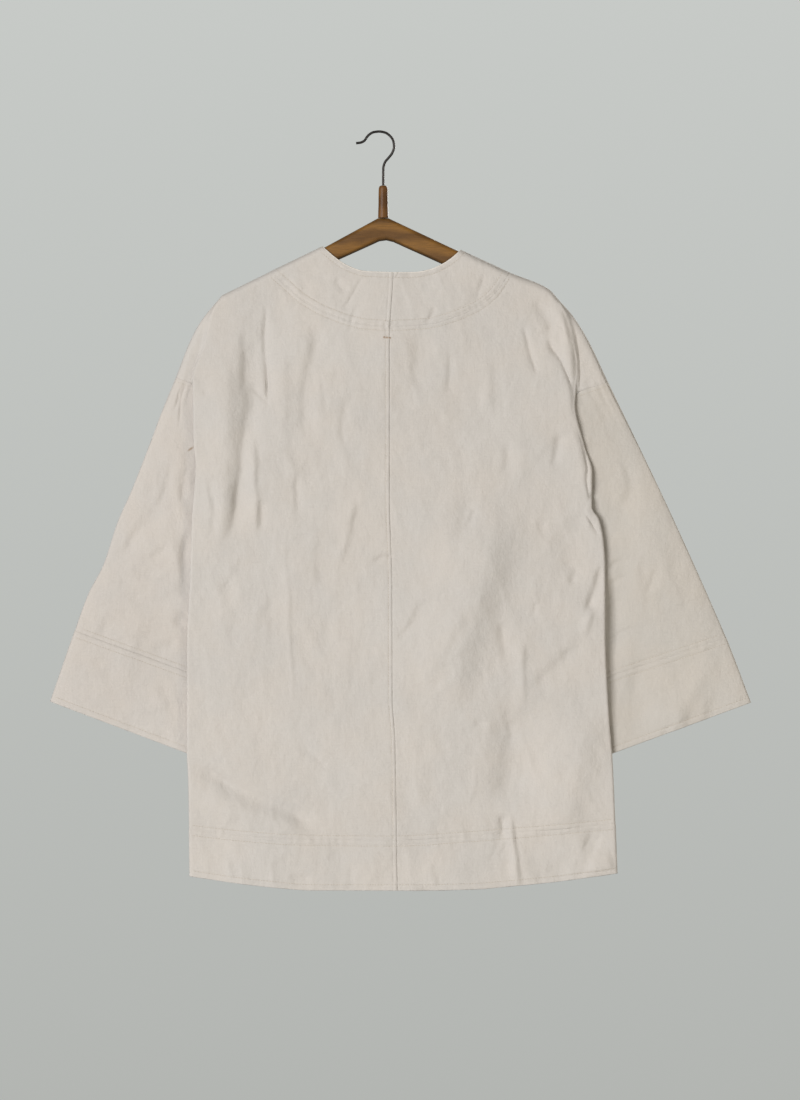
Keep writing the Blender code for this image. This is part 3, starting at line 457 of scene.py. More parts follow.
# The back's seams: the line, how far the rows of stitches are from it, and its form
BACK_SEAMS = (
    (BAND_SEAM["left"], ROW_BY_JOIN, "join"), (BAND_SEAM["right"], ROW_BY_JOIN, "join"),
    (CENTRE_BACK, ROW_BY_CENTRE, "left row"), (HEM_SEAM, ROW_BY_JOIN, "join"),
    (HEM_LINE, ROW_BY_HEM, "hem"), (NECKLINE["left"], ROW_BY_NECK, "hem"),
    (NECKLINE["right"], ROW_BY_NECK, "hem"),
)

# Stitches, in thread painted darker than the cloth, as painted shade of the holes they sink into
STITCH = 2.9 * MM               # the length of one
STITCH_PITCH = 3.5 * MM         # from one to the next
THREAD = 0.34 * MM              # half the thread's width
STITCH_RINGS = ((0.0, 0.35, -0.30), (0.14, 0.9, -0.02), (0.5, 1.0, 0.12), (0.86, 0.9, -0.02),
                (1.0, 0.35, -0.30))     # place along the stitch, width and lift, in thread widths
STITCH_SIDES = 5                # round the thread
CENTRE_ROW = (0.03, 1.0)        # the share of the centre seam that its row covers
BARTACK = ((3.2, -256.3), (16.2, -257.6))   # its ends, on the centre seam under the band
BARTACK_ROWS = (-0.75 * MM, 0.0, 0.75 * MM)
BARTACK_LIFT = 0.95 * MM        # from the cloth's middle to the thread on it
EDGE_ROLL = 1.05 * MM           # radius of the neck bands' turned edge
EDGE_ROUND = 3                  # how finely its round is made
HOOK_ROUND = 5                  # and the hook's

# Colours, in the light that a shader works in
ECRU_WARM = (0.542, 0.500, 0.458)
ECRU_COOL = (0.530, 0.497, 0.463)
# Painted light: the left sleeve is painted a little brighter, on the side the light comes from, and
# the right one darker and yellower as painted shade
SLEEVE_PAINTED_LIGHT_TINTS = {"left": (1.015, 1.005, 1.0), "right": (0.96, 0.955, 0.935)}
FRONT_TINT = (1.0, 0.99, 0.97)
EDGE_HIGHLIGHT_TINT = (1.22, 1.22, 1.20)  # painted highlight: the rolled neck edge is painted paler, for the light from above on it
PLAIN = (1.0, 1.0, 1.0)
SPECK = (-236, -396)            # a small brown speck in the yarn, x, z in millimetres
SPECK_COLOUR = (0.30, 0.20, 0.12)
PORES_ACROSS = 900              # the wood's fine pores in a metre
PORES_ALONG = 150               # and those along the grain, before they are stretched
# painted shade: the sewing thread is darkened below the cloth's tone for the shadow in the stitch
# holes
THREAD_COLOURS_WITH_HOLE_SHADE = ((0.44, 0.39, 0.33), (0.54, 0.49, 0.42))
BAR_COLOURS = ((0.36, 0.26, 0.18), (0.46, 0.35, 0.26))
ARM_COLOURS = ((0.122, 0.053, 0.008), (0.208, 0.095, 0.016))
NECK_COLOURS = ((0.095, 0.035, 0.005), (0.150, 0.060, 0.010))
STEEL_COLOURS = ((0.034, 0.031, 0.029), (0.050, 0.045, 0.042))
FLOOR_COLOUR = (0.62, 0.62, 0.60)
SKY_HIGH = (0.570, 0.590, 0.570)            # what the camera sees behind the part, above
SKY_LOW = (0.452, 0.466, 0.446)             # and below
SKY_LIGHT = (0.310, 0.303, 0.282)           # what falls on the part from all round
SKY_SPAN = 0.085                # the sine of the view's slope at which each colour is full

# The studio's soft lights: place, aim, size, power and colour
LIGHTS = {
    "key": ((-6.7, -10.0, 0.8), (0.0, 0.0, -0.5), 6.0, 1425, (0.985, 0.990, 1.0)),
    "fill": ((3.4, -2.9, -0.3), (0.2, 0.0, -0.5), 1.2, 28, (1.0, 0.92, 0.76)),
    "front": ((4.5, 8.5, 1.5), (0.0, 0.0, -0.5), 5.0, 900, (1.0, 0.98, 0.96)),
}
FLOOR_HALF = 2.0
FLOOR_FROM = -1.7               # y, before the part and behind it
FLOOR_TO = 0.3
FLOOR_Z = -1.35
VIEW_DISTANCE = 8.0
VIEW_HEIGHT = 1375 * MM         # of what the photograph shows at the jacket
VIEW_CENTRE = (26 * MM, -522.5 * MM)        # x, z


def smooth(keys, values, at):
    """A smooth curve through values at rising keys, which never overshoots them."""
    keys = np.asarray(keys, float)
    values = np.asarray(values, float)
    steps = np.diff(keys)
    slopes = np.diff(values) / steps
    before, after = slopes[:-1], slopes[1:]
    same_way = before * after > 0
    total = np.where(same_way, before + after, 1.0)
    inner = np.where(same_way, 2 * before * after / total, 0.0)
    tangents = np.concatenate((slopes[:1], inner, slopes[-1:]))
    span = np.clip(np.searchsorted(keys, at, side="right") - 1, 0, len(steps) - 1)
    step = steps[span]
    part = np.clip((at - keys[span]) / step, 0.0, 1.0)
    start = 2 * part**3 - 3 * part**2 + 1
    bend = part**3 - 2 * part**2 + part
    other = part**3 - part**2
    return (start * values[span] + bend * step * tangents[span]
            + (1 - start) * values[span + 1] + other * step * tangents[span + 1])


def ease(value):
    """0 below 0, 1 above 1, and smooth between."""
    part = np.clip(value, 0.0, 1.0)
    return part * part * (3 - 2 * part)


def along(table, part):
    """Plan points on a table's curve, part running from 0 to 1 by its length."""
    rows = np.asarray(table, float) * MM
    lengths = np.concatenate(((0.0,), np.cumsum(np.hypot(*np.diff(rows[:, :2], axis=0).T))))
    at = np.asarray(part) * lengths[-1]
    return np.stack([smooth(lengths, column, at) for column in rows.T], axis=-1)


def x_at(table, z):
    """The x of an upright curve at height z."""
    rows = np.asarray(table, float) * MM
    return smooth(-rows[:, 1], rows[:, 0], -np.asarray(z))


def z_at(table, x):
    """The height of a level curve at x, whichever way its table runs."""
    rows = np.asarray(table, float) * MM
    if rows[0, 0] > rows[-1, 0]:
        rows = rows[::-1]
    return smooth(rows[:, 0], rows[:, 1], np.asarray(x))


def mix(first, second, part):
    """The point at that part of the way from the first to the second."""
    return first + (second - first) * np.asarray(part)[..., None]


def nearest_on(line, points):
    """How far plan points lie from a line, where along it, from 0 to 1, and to which side.

    The side runs from -1, up and left of the line, to 1, down and right of it.
    """
    best = np.full(points.shape[:-1], np.inf)
    place = np.zeros(points.shape[:-1])
    side = np.zeros(points.shape[:-1])
    for number, (start, end) in enumerate(zip(line[:-1], line[1:])):
        run = end - start
        part = np.clip(((points - start) @ run) / (run @ run), 0.0, 1.0)
        gap = points - (start + part[..., None] * run)
        away = np.hypot(gap[..., 0], gap[..., 1])
        closer = away < best
        best = np.where(closer, away, best)
        place = np.where(closer, (number + part) / (len(line) - 1), place)
        side = np.where(closer, (gap @ LEAN_WAY) / np.maximum(away, 0.01 * MM), side)
    return best, place, side


def outward(side):
    """The way from the middle to a side, along x."""
    return -1.0 if side == "left" else 1.0


def rounded(distance, edge, depth):
    """Depth of cloth that turns over an edge: edge at the edge, then round up to depth."""
    part = np.clip(distance / ROUNDING, 0.0, 1.0)
    return edge + (depth - edge) * np.sqrt(np.clip(1 - (1 - part)**2, 0.0, 1.0))


def world(grid, back=True):
    """World points of a grid of plan points and depths."""
    return np.stack((grid[..., 0], -grid[..., 2] if back else grid[..., 2], grid[..., 1]), axis=-1)


def crease_rise(creases, points):
    """How far the listed creases raise the cloth at plan points."""
    flat = points.reshape(-1, 2)
    rise = np.zeros(len(flat))
    for form, rows in creases.items():
        for half_width, height, *route in rows:
            line = along(route, np.linspace(0, 1, CREASE_STEPS * (len(route) - 1) + 1))
            reach = CREASE_REACH * half_width * MM
            low, high = line.min(axis=0) - reach, line.max(axis=0) + reach
            near = np.all((flat > low) & (flat < high), axis=1)
            if near.any():
                rise[near] += one_crease(line, half_width, height, form, flat[near])
    return rise.reshape(points.shape[:-1])


def one_crease(line, half_width, height, form, points):
    """How far one crease raises the cloth, fading at its ends.

    A narrow crease wanders a little off its line, and its height and width change along it.
    """
    size = WANDER_SIZE + 2 * half_width * MM
    astray = [WANDER * rumple(points, size, seed) for seed in STRAY_SEEDS]
    away, place, side_of = nearest_on(line, points + np.stack(astray, axis=-1))
    lean = 1 + CREASE_LEAN * side_of * math.copysign(1, height)
    change = min(NARROW_CREASE / half_width, 1.0)**2
    width = half_width * MM * (1 + UNEVEN_WIDTH * change * rumple(points, size, WIDTH_SEED))
    away = away / width * lean
    if form == "sharp":
        shape = np.exp(-SHARP_FALL * (np.hypot(away, SHARP_ROUND) - SHARP_ROUND))
    else:
        shape = np.exp(-away**2)
    fade = ease(place / CREASE_FADE) * ease((1 - place) / CREASE_FADE)
    uneven = 1 + UNEVEN_HEIGHT * change * rumple(points, size, HEIGHT_SEED)
    return CREASE_GAIN * height * MM * uneven * fade * shape


def rumple(points, size, seed):
    """Smooth uneven waves from -1 to 1, of about that size."""
    lattice = np.random.default_rng(seed).uniform(-1, 1, (LATTICE, LATTICE))
    place = points / size
    corner = np.floor(place).astype(int)
    part = ease(place - corner)
    x, z = corner[..., 0] % LATTICE, corner[..., 1] % LATTICE
    far_x, far_z = (x + 1) % LATTICE, (z + 1) % LATTICE
    low = lattice[x, z] + (lattice[far_x, z] - lattice[x, z]) * part[..., 0]
    high = lattice[x, far_z] + (lattice[far_x, far_z] - lattice[x, far_z]) * part[..., 0]
    return low + (high - low) * part[..., 1]


def patches(points, seed, cover):
    """1 in uneven patches and 0 between them."""
    return ease(cover[0] * rumple(points, PATCH_SIZE, seed + PATCH_SEED) + cover[1])


def small_waves(points, surface):
    """The cloth's own slight rumples, its fine wrinkles and its ridged crumples."""
    first = WAVE_SEEDS[surface]
    x, z = points[..., 0], points[..., 1]
    turned = np.stack((x + RUMPLE_SLANT * z, (z - RUMPLE_SLANT * x) / RUMPLE_LENGTH), axis=-1)
    waves = sum(height * rumple(turned, size, seed + first) for size, height, seed in RUMPLES)
    for seed, (degrees, width, height) in enumerate(WRINKLES, WRINKLE_SEED + first):
        angle = math.radians(degrees)
        run = np.array((math.cos(angle), math.sin(angle)))
        across = np.array((run[1], -run[0]))
        lain = np.stack((points @ across, points @ run / WRINKLE_LENGTH), axis=-1)
        waves = waves + height * patches(points, seed, WRINKLE_COVER) * rumple(lain, width, seed)
    for seed, (size, height) in enumerate(CRUMPLES, CRUMPLE_SEED + first):
        ridge = np.abs(rumple(turned, size, seed))**CRUMPLE_RIDGE
        waves = waves - height * patches(points, seed, CRUMPLE_COVER) * ridge
    return waves


def bell(distance, reach):
    """1 at no distance, and next to nothing at twice the reach."""
    return np.exp(-(distance / reach)**2)


def sewn_relief(points, seams):
    """Stitched seams: rows that sink into the cloth, and the cloth puffed and puckered between."""
    rise = np.zeros(points.shape[:-1])
    drift, drift_length = PUCKER_DRIFT
    mean, swing, swell_length = PUCKER_SWELL
    for number, (seam, row, form) in enumerate(seams):
        line = np.asarray(seam, float)[:, :2] * MM
        away, place, side_of = nearest_on(line, points)
        length = place * np.hypot(*np.diff(line, axis=0).T).sum()
        wave = length / PUCKER_STEP + drift * np.sin(length / drift_length + number)
        swell = mean + swing * np.sin(length / swell_length + 2.0 * number)
        strength = ease(-ONE_SIDED * side_of) if form == "left row" else 1.0
        rise += strength * PUFF * bell(away - row / 2, PUFF_REACH)
        rise -= strength * ROW_DEPTH * bell(away - row, ROW_REACH)
        pucker = PUCKER * (HEM_PUCKER if form == "hem" else 1.0)
        rise += pucker * swell * np.sin(wave) * bell(away, PUCKER_REACH)
        if form != "hem":
            rise -= SEAM_SINK * bell(away, SEAM_REACH)
    return rise


def shoulder_drop(points):
    """How far plan points lie below the two shoulder lines, carried on past the shoulders."""
    x, z = points[..., 0], points[..., 1]
    left, right = (np.asarray(SHOULDER[side], float) * MM for side in ("left", "right"))
    line = np.vstack((left[::-1], right[:1], along(SHOULDER["right"][1:], EDGE_PLACES)))
    height = np.interp(x, line[:, 0], line[:, 1])
    for past, (near, far) in ((np.minimum(x - line[0, 0], 0.0), left[-2:]),
                              (np.maximum(x - line[-1, 0], 0.0), right[:2])):
        height = height + past * (far[1] - near[1]) / (far[0] - near[0])
    return height - z


def body_depth(points, edge, front=None):
    """Distance of the body's cloth from the middle plane, at plan points.

    edge is the depth at the shoulder line. front is None for the back, else left or right.
    """
    x, z = points[..., 0], points[..., 1]
    drop = shoulder_drop(points)
    broad = TOP_HALF + (FOLD_DEPTH - TOP_HALF) * ease(drop / DEEPENING)
    if front is None:
        middle = np.clip(1 - ((x - CENTRE) / BODY_HALF)**2, 0.0, 1.0)
        broad = broad + BODY_CROWN * middle * ease((drop - CROWN_FROM) / CROWN_OVER)
        folds = crease_rise(BACK_CREASES, points) + small_waves(points, "back")
        folds = folds + sewn_relief(points, BACK_SEAMS)
    else:
        folds = crease_rise(FRONT_CREASES, points) + small_waves(points, "front")
        edge_line = [row[2:] for row in FRONT_BAND[front]]
        folds = folds + sewn_relief(points, (
            (HEM_SEAM, ROW_BY_JOIN, "join"), (FRONT_BAND[front], ROW_BY_JOIN, "join"),
            (HEM_LINE, ROW_BY_HEM, "hem"), (edge_line, ROW_BY_NECK, "hem")))
        if front == "right":
            low = ease((-z - LAP_FROM) / LAP_OVER)
            near = 1 - ease((x - LAP_INNER) / LAP_FADE)
            broad = broad + LAP * low * near
    near_edge = edge + (EDGE_CLOSED - edge) * (1 - ease(drop / ROUNDING))
    return rounded(drop, near_edge, broad) + folds * ease(drop / FOLD_FADE)


def cap_depth(points, side):
    """Half depth of the dropped shoulder, from its distance to the outline."""
    cap = OUTLINE_ARMHOLE + 1
    line = np.vstack((along(OUTLINE[side][:cap], EDGE_PLACES),
                      np.asarray(OUTLINE[side][cap:], float) * MM))
    away, _, _ = nearest_on(line, points)
    armhole = (ARMHOLE[side]["outer"], ARMHOLE[side]["fold"])
    waves = SHOULDER_WAVES * small_waves(points, "shoulder")
    waves = waves + sewn_relief(points, ((armhole, ROW_BY_ARMHOLE, "join"),))
    return rounded(away, EDGE_CLOSED, CAP_DEPTH) + waves * ease(away / ROUNDING)


def edge_rows(side, rows):
    """Plan points down a body panel's fold and down its armhole and side seam."""
    top = OUTLINE[side][0][1] * MM
    hem = z_at(HEM_SEAM, BODY_EDGE[side][-1][0] * MM)
    fold_z = top + rows * (hem - top)
    fold = np.stack((x_at(BODY_EDGE[side], fold_z), fold_z), axis=-1)
    seam = ARMHOLE[side]
    outer, visible, under = (np.array(seam[key]) * MM for key in ("outer", "fold", "under"))
    shown = mix(outer, visible, np.clip(rows / AT_FOLD, 0.0, 1.0)**ARMHOLE_CROWDING)
    hidden = mix(visible, under, np.clip((rows - AT_FOLD) / (AT_ARM - AT_FOLD), 0.0, 1.0))
    low = np.clip((rows - AT_ARM) / (1 - AT_ARM), 0.0, 1.0)
    end_hem = z_at(HEM_SEAM, x_at(SIDE_SEAM[side], hem))
    low_z = under[1] + low * (end_hem - under[1])
    seam_points = np.stack((x_at(SIDE_SEAM[side], low_z), low_z), axis=-1)
    end = np.where((rows <= AT_FOLD)[:, None], shown, hidden)
    end = np.where((rows >= AT_ARM)[:, None], seam_points, end)
    return fold, end


def seam_depth(side, rows, edge):
    """Depth of a body panel's wall down its armhole and side seam, and the sleeve's there."""
    _, end = edge_rows(side, rows)
    part = (rows - AT_FOLD) / (AT_ARM - AT_FOLD)
    tucked = ease(part / TUCKED)
    hidden = CAP_DEPTH + (TURNED_DEPTH - CAP_DEPTH) * tucked
    hidden = hidden + ((UNDER_ARM_DEPTH - TURNED_DEPTH)
                       * ease((part - UNDER_FROM) / (1 - UNDER_FROM)))
    below = UNDER_ARM_DEPTH + (edge - UNDER_ARM_DEPTH) * ease((rows - AT_ARM) / SIDE_OVER)
    body = np.where(rows <= AT_ARM, hidden, below)
    body = np.where(rows <= AT_FOLD, cap_depth(end, side), body)
    return body, body - (WALL + SEAM_GAP + SLEEVE_TUCK) * tucked


def panel(side, top, rows, inner, wall, front=None):
    """Grid of points of a body panel, rows down from its top edge, columns out to its seam.

    top holds the plan points of the top edge from the inner edge to the shoulder's end, or is
    None where the inner edge carries the rows, and inner holds the inner edge's points.
    """
    edge = (wall + SEAM_GAP) / 2
    out = outward(side)
    fold, end = edge_rows(side, rows)
    if front:
        fold[:, 0] -= out * FRONT_INSET * ease(rows / AT_FOLD)
    turn = np.interp(rows, TURN_PLACES, FOLD_TURNS)
    shown_edge = fold.copy()
    shown_edge[:, 0] -= out * FOLD_RADIUS * np.minimum(turn / FOLD_TURNS[1], 1.0)
    seam, _ = seam_depth(side, rows, edge)
    plans = []
    for row, part in enumerate(rows):
        if top is None:
            share = np.linspace(0.0, 1.0, FRONT_ACROSS + 1)
            shoulder = along(SHOULDER[side][1:], share)
            bulge = shoulder - mix(shoulder[0], shoulder[-1], share)
            plans.append(mix(inner[row], shown_edge[row], share)
                         + bulge * max(1 - part / AT_FOLD, 0.0))
        else:
            share = (top[:, 0] - top[0, 0]) / (top[-1, 0] - top[0, 0])
            x = inner[row, 0] + share * (shown_edge[row, 0] - inner[row, 0])
            last = inner[-1, 0] + share * (shown_edge[-1, 0] - inner[-1, 0])
            z = top[:, 1] + part * (z_at(HEM_SEAM, last) - top[:, 1])
            plans.append(np.stack((x, z), axis=-1))
    plans = np.array(plans)
    shown = np.concatenate((plans, body_depth(plans, edge, front)[..., None]), axis=-1)
    rest = [turn_under(side, shown[row, -1], end[row], seam[row], turn[row], part)
            for row, part in enumerate(rows)]
    return np.concatenate((shown, np.array(rest)), axis=1)


def turn_under(side, last, end, seam, turn, row):
    """The rest of a panel's row: out over the shoulder, or round the fold and on to the seam."""
    part = np.arange(1, ARC_CELLS + RETURN_CELLS + 1) / (ARC_CELLS + RETURN_CELLS)
    cap = OUTLINE[side][:OUTLINE_ARMHOLE + 1]
    bulge = along(cap, part) - mix(np.array(cap[0]) * MM, np.array(cap[-1]) * MM, part)
    plan = mix(last[:2], end, part) + bulge * max(1 - row / AT_FOLD, 0.0)
    start = cap_depth(last[None, :2], side)[0]
    run = np.hypot(*(end - last[:2]))
    fade = 1 - ease(part * run / min(CAP_FADE, run))
    over = np.column_stack((plan, cap_depth(plan, side) + (last[2] - start) * fade))

    angle = np.arange(1, ARC_CELLS + 1) / ARC_CELLS * math.radians(turn)
    arc = np.column_stack((last[0] + outward(side) * FOLD_RADIUS * np.sin(angle),
                           np.full(ARC_CELLS, last[1]),
                           last[2] - FOLD_RADIUS * (1 - np.cos(angle))))
    part = np.arange(1, RETURN_CELLS + 1) / RETURN_CELLS
    folded = ease((turn - FOLD_TURNS[2]) / (FOLD_TURNS[3] - FOLD_TURNS[2]))
    late = part + (ease((part - RETURN_LEVEL) / (1 - RETURN_LEVEL)) - part) * folded
    depth = arc[-1, 2] + (seam - arc[-1, 2]) * late
    under = np.vstack((arc, np.column_stack((mix(arc[-1, :2], end, part), depth))))
    return over + (under - over) * min(turn / FOLD_TURNS[1], 1.0)


def centre_line(side, z):
    """Plan points of a back piece's edge at the centre seam."""
    x = x_at(CENTRE_BACK, z) + outward(side) * SEAM_GAP / 2
    return np.stack((x, z), axis=-1)


def graded(count, first=0.0, last=0.0):
    """Places from 0 to 1, with closer steps over the first and the last share of the way."""
    places = [np.linspace(first, 1 - last, count + 1)]
    if first:
        places.insert(0, np.linspace(0, first, SEAM_STEPS + 1)[:-1])
    if last:
        places.append(np.linspace(1 - last, 1, SEAM_STEPS + 1)[1:])
    return np.concatenate(places)


def back_grid(side, rows, wall=WALL):
    """Points of a back panel, or of its surface carried on below the hem seam."""
    band = along(BAND_SEAM[side], graded(*BAND_ACROSS))
    shoulder = along(SHOULDER[side][1:], np.linspace(0, 1, CAP_ACROSS + 1))
    top = np.vstack((band, shoulder[1:]))
    top[0] = centre_line(side, top[0, 1])
    hem = z_at(HEM_SEAM, CENTRE)
    inner = centre_line(side, top[0, 1] + rows * (hem - top[0, 1]))
    return panel(side, top, rows, inner, wall)


def band_rows(side, rows):
    """A front band's seam and neck edge, level with the front panel's rows."""
    table = FRONT_BAND[side]
    line = np.asarray(table, float)[:, :2] * MM
    length = np.hypot(*np.diff(line, axis=0).T).sum()
    hem = z_at(HEM_SEAM, line[-1, 0])
    return along(table, rows * (1 - (hem - line[-1, 1]) / length))


def front_grid(side, rows, wall=WALL):
    """Points of a front panel, or of its surface carried on below the hem seam."""
    inner = band_rows(side, rows)[:, :2]
    inner[:, 0] += outward(side) * SEAM_GAP / 2
    return panel(side, None, rows, inner, wall, front=side)


def collar_grid(side):
    """Points of half of the neck band on the back, from the neckline to the band's seam."""
    parts = graded(*BAND_ACROSS)
    upper = along(NECKLINE[side], parts)
    lower = along(BAND_SEAM[side], parts)
    upper[0] = centre_line(side, upper[0, 1])
    lower[0] = centre_line(side, lower[0, 1])
    length = np.hypot(*(lower - upper).T)
    rows = []
    for part in graded(*COLLAR_ROWS):
        plan = mix(upper, lower, part * (1 + LAPPED / length))
        pressed = PRESSED * ease((part - 1 + PRESSED_OVER) / PRESSED_OVER)
        depth = body_depth(plan, (BAND_WALL + SEAM_GAP) / 2) - pressed
        rows.append(np.column_stack((plan, depth)))
    return np.array(rows)


def front_band_grids(side):
    """Points of the band's two lengths on a front: the neck's from the shoulder, and the front's.

    Both run down, and across from the panel to the edge.
    """
    rows = graded(*FRONT_ROWS)
    join = int(np.searchsorted(rows, AT_TURN))
    hem_places = np.arange(1, HEM_ROWS[0] + 1) / HEM_ROWS[0]
    count = len(rows)
    lines = band_rows(side, np.concatenate((rows, 1 + HEM_SHARE * hem_places)))
    start = lines[count - 1, 1::2]
    end = z_at(HEM_LINE, CENTRE) + FRONT_RISE
    lines[count:, 1::2] = start + hem_places[:, None] * (end - start)
    seam, edge_line = lines[:, :2], lines[:, 2:]
    grid = []
    for part in graded(*BAND_ROWS):
        plan = mix(seam, edge_line, part)
        plan[:, 0] -= outward(side) * SEAM_GAP / 2 * (1 - part)
        grid.append(np.column_stack((plan, body_depth(plan, (BAND_WALL + SEAM_GAP) / 2, side))))
    grid = np.array(grid)
    lower = grid[:, join:].copy()
    run = lower[:, 1] - lower[:, 0]
    lower[:, 0] += run / np.linalg.norm(run, axis=-1, keepdims=True) * SEAM_GAP
    return grid[:, :join + 1], lower


def hem_grid(side, front=False):
    """Points of a hem band, hung from the last row of its panel."""
    parts = graded(*HEM_ROWS)
    shape = front_grid if front else back_grid
    carried = shape(side, 1 + HEM_SHARE * parts, BAND_WALL)
    top = carried[0, :, 1] + LAPPED
    rise = FRONT_RISE if front else 0.0
    for row, part in enumerate(parts):
        line = z_at(HEM_LINE, carried[row, :, 0]) + rise
        carried[row, :, 1] = top + part * (line - top)
        carried[row, :, 2] -= PRESSED * (1 - ease(part / PRESSED_OVER))
    return carried


def sleeve_depth(side, plan, share, back):
    """Half depth of a flat sleeve at shares of the way across, with its folds."""
    shape = SLEEVE_HALF * np.sqrt(np.clip(1 - np.abs(2 * share - 1)**SLEEVE_SQUARE, 0.0, 1.0))
    shift = np.zeros(2) if back else np.array((outward(side), 1)) * FRONT_SHIFT * MM
    folds = crease_rise(SLEEVE_CREASES, plan + shift)
    folds = folds + small_waves(plan, "sleeve back" if back else "sleeve front")
    folds = folds + sewn_relief(plan, ((CUFF_SEAM[side], ROW_BY_JOIN, "join"),
                                       (CUFF_HEM[side], ROW_BY_HEM, "hem")))
    return shape + folds * np.sin(math.pi * share)**SLEEVE_CALM


def sleeve_lines(side, part, low):
    """Plan points down a sleeve's outer and inner edges, from armhole to cuff seam or below."""
    first = CUFF_SEAM[side] if low else (ARMHOLE[side]["outer"], SLEEVE_INNER[side][0])
    last = CUFF_HEM[side] if low else CUFF_SEAM[side]
    lines = []
    for table, start, end in zip((OUTLINE[side], SLEEVE_INNER[side]), first, last):
        z = (start[1] + part * (end[1] - start[1])) * MM
        lines.append(np.array((float(x_at(table, z)), z)))
    return lines


def tube_grid(side, low):
    """Closed rings of world points of a sleeve, or of a cuff where low is set."""
    spread = np.linspace(0, len(SLEEVE_ACROSS) - 1, SLEEVE_SIDE + 1)
    listed = np.arange(len(SLEEVE_ACROSS))
    share = np.interp(spread, listed, SLEEVE_ACROSS)
    joins = np.interp(spread, listed, SLEEVE_JOINS)
    _, arm = edge_rows(side, joins)
    _, arm_depth = seam_depth(side, joins, (WALL + SEAM_GAP) / 2)
    start = mix(*sleeve_lines(side, 0.0, False), share)
    parts = graded(*(CUFF_ROWS if low else SLEEVE_ROWS))
    plans = np.array([mix(*sleeve_lines(side, part, low), share) for part in parts])
    sides = []
    for back in (True, False):
        depths = sleeve_depth(side, plans, share, back)
        moved = plans.copy()
        if not low:
            follow = (1 - ease(parts / PLAN_FOLLOWS))[:, None]
            moved += (arm - start) * follow[..., None]
            start_depth = sleeve_depth(side, start, share, back)
            depths = depths + ((arm_depth - start_depth)
                               * (1 - ease(parts / DEPTH_FOLLOWS))[:, None])
            depths[:, 0] = depths[:, -1] = 0.0
        sides.append(world(np.concatenate((moved, depths[..., None]), axis=-1), back))
    rings = np.concatenate((sides[0], sides[1][:, -2:0:-1]), axis=1)
    return pull_back(rings, -LAPPED if low else SEAM_GAP, 0.0 if low else CORNER_GAP)


def pull_back(rings, gap, corner):
    """Moves the first ring along its sleeve by the gap at the seam above it, or over that seam.

    corner is what the gap grows by where the seam goes under the body's fold.
    """
    run = rings[1] - rings[0]
    count = rings.shape[1]
    place = np.minimum(np.arange(count), count - np.arange(count))
    place = place * (len(SLEEVE_JOINS) - 1) / SLEEVE_SIDE
    gap = gap + corner * np.exp(-(place - JOIN_AT_FOLD - 0.5)**2)
    rings[0] += run / np.linalg.norm(run, axis=-1, keepdims=True) * gap[:, None]
    return rings


class Nodes:
    """Adds nodes to a material or a world and joins them."""

    def __init__(self, owner, shader="Principled BSDF"):
        self.material = owner
        owner.use_nodes = True
        self.tree = owner.node_tree
        self.shader = self.tree.nodes[shader]

    def add(self, kind, settings=None, **inputs):
        """A node, with its settings and with values or other nodes' outputs on its inputs."""
        made = self.tree.nodes.new(kind)
        for key, value in (settings or {}).items():
            setattr(made, key, value)
        for key, value in inputs.items():
            self.join(made.inputs[key.replace("_", " ")], value)
        return made

    def join(self, socket, value):
        """Puts a value or another node's output on an input."""
        if isinstance(value, bpy.types.NodeSocket):
            self.tree.links.new(value, socket)
        elif isinstance(value, tuple) and socket.type == "RGBA":
            socket.default_value = (*value, 1.0)
        else:
            socket.default_value = value

    def finish(self, **inputs):
        """The material, with values or other nodes' outputs on its shader's inputs."""
        for key, value in inputs.items():
            self.join(self.shader.inputs[key.replace("_", " ")], value)
        return self.material

    def place(self):
        """The object's own coordinates."""
        return self.add("ShaderNodeTexCoord").outputs["Object"]

    def stretched(self, place, scale):
        """Coordinates scaled along each axis."""
        return self.add("ShaderNodeMapping", Vector=place, Scale=scale).outputs["Vector"]

    def noise(self, place, scale, detail=3.0, roughness=0.5):
        """Noise of that many waves a metre."""
        return self.add("ShaderNodeTexNoise", Vector=place, Scale=scale, Detail=detail,
                        Roughness=roughness).outputs["Fac"]

    def ramp(self, value, *stops):
        """Colours, or greys, at places between 0 and 1."""
        made = self.add("ShaderNodeValToRGB", Fac=value)
        points = made.color_ramp.elements
        while len(points) < len(stops):
            points.new(0.5)
        for point, (place, colour) in zip(points, stops):
            point.position = place
            point.color = (*(colour if isinstance(colour, tuple) else (colour,) * 3), 1.0)
        return made.outputs["Color"]

    def span(self, value, low, high, first, last):
        """A value's run from low to high, turned into one from first to last."""
        return self.add("ShaderNodeMapRange", Value=value, From_Min=low, From_Max=high,
                        To_Min=first, To_Max=last).outputs["Result"]

    def blended(self, how, amount, first, second):
        """Two colours blended."""
        made = self.add("ShaderNodeMix", {"data_type": "RGBA", "blend_type": how})
        for number, value in ((0, amount), (6, first), (7, second)):
            self.join(made.inputs[number], value)
        return made.outputs[2]

    def worked(self, kind, how, *values):
        """A node that works out one thing from its inputs in turn."""
        made = self.add(kind, {"operation": how})
        for socket, value in zip(made.inputs, values):
            self.join(socket, value)
        return made.outputs

    def bumped(self, height, strength, distance, below=None):
        """A bump, on top of another one where that is given."""
        made = self.add("ShaderNodeBump", Height=height, Strength=strength, Distance=distance)
        if below:
            self.join(made.inputs["Normal"], below)
        return made.outputs["Normal"]


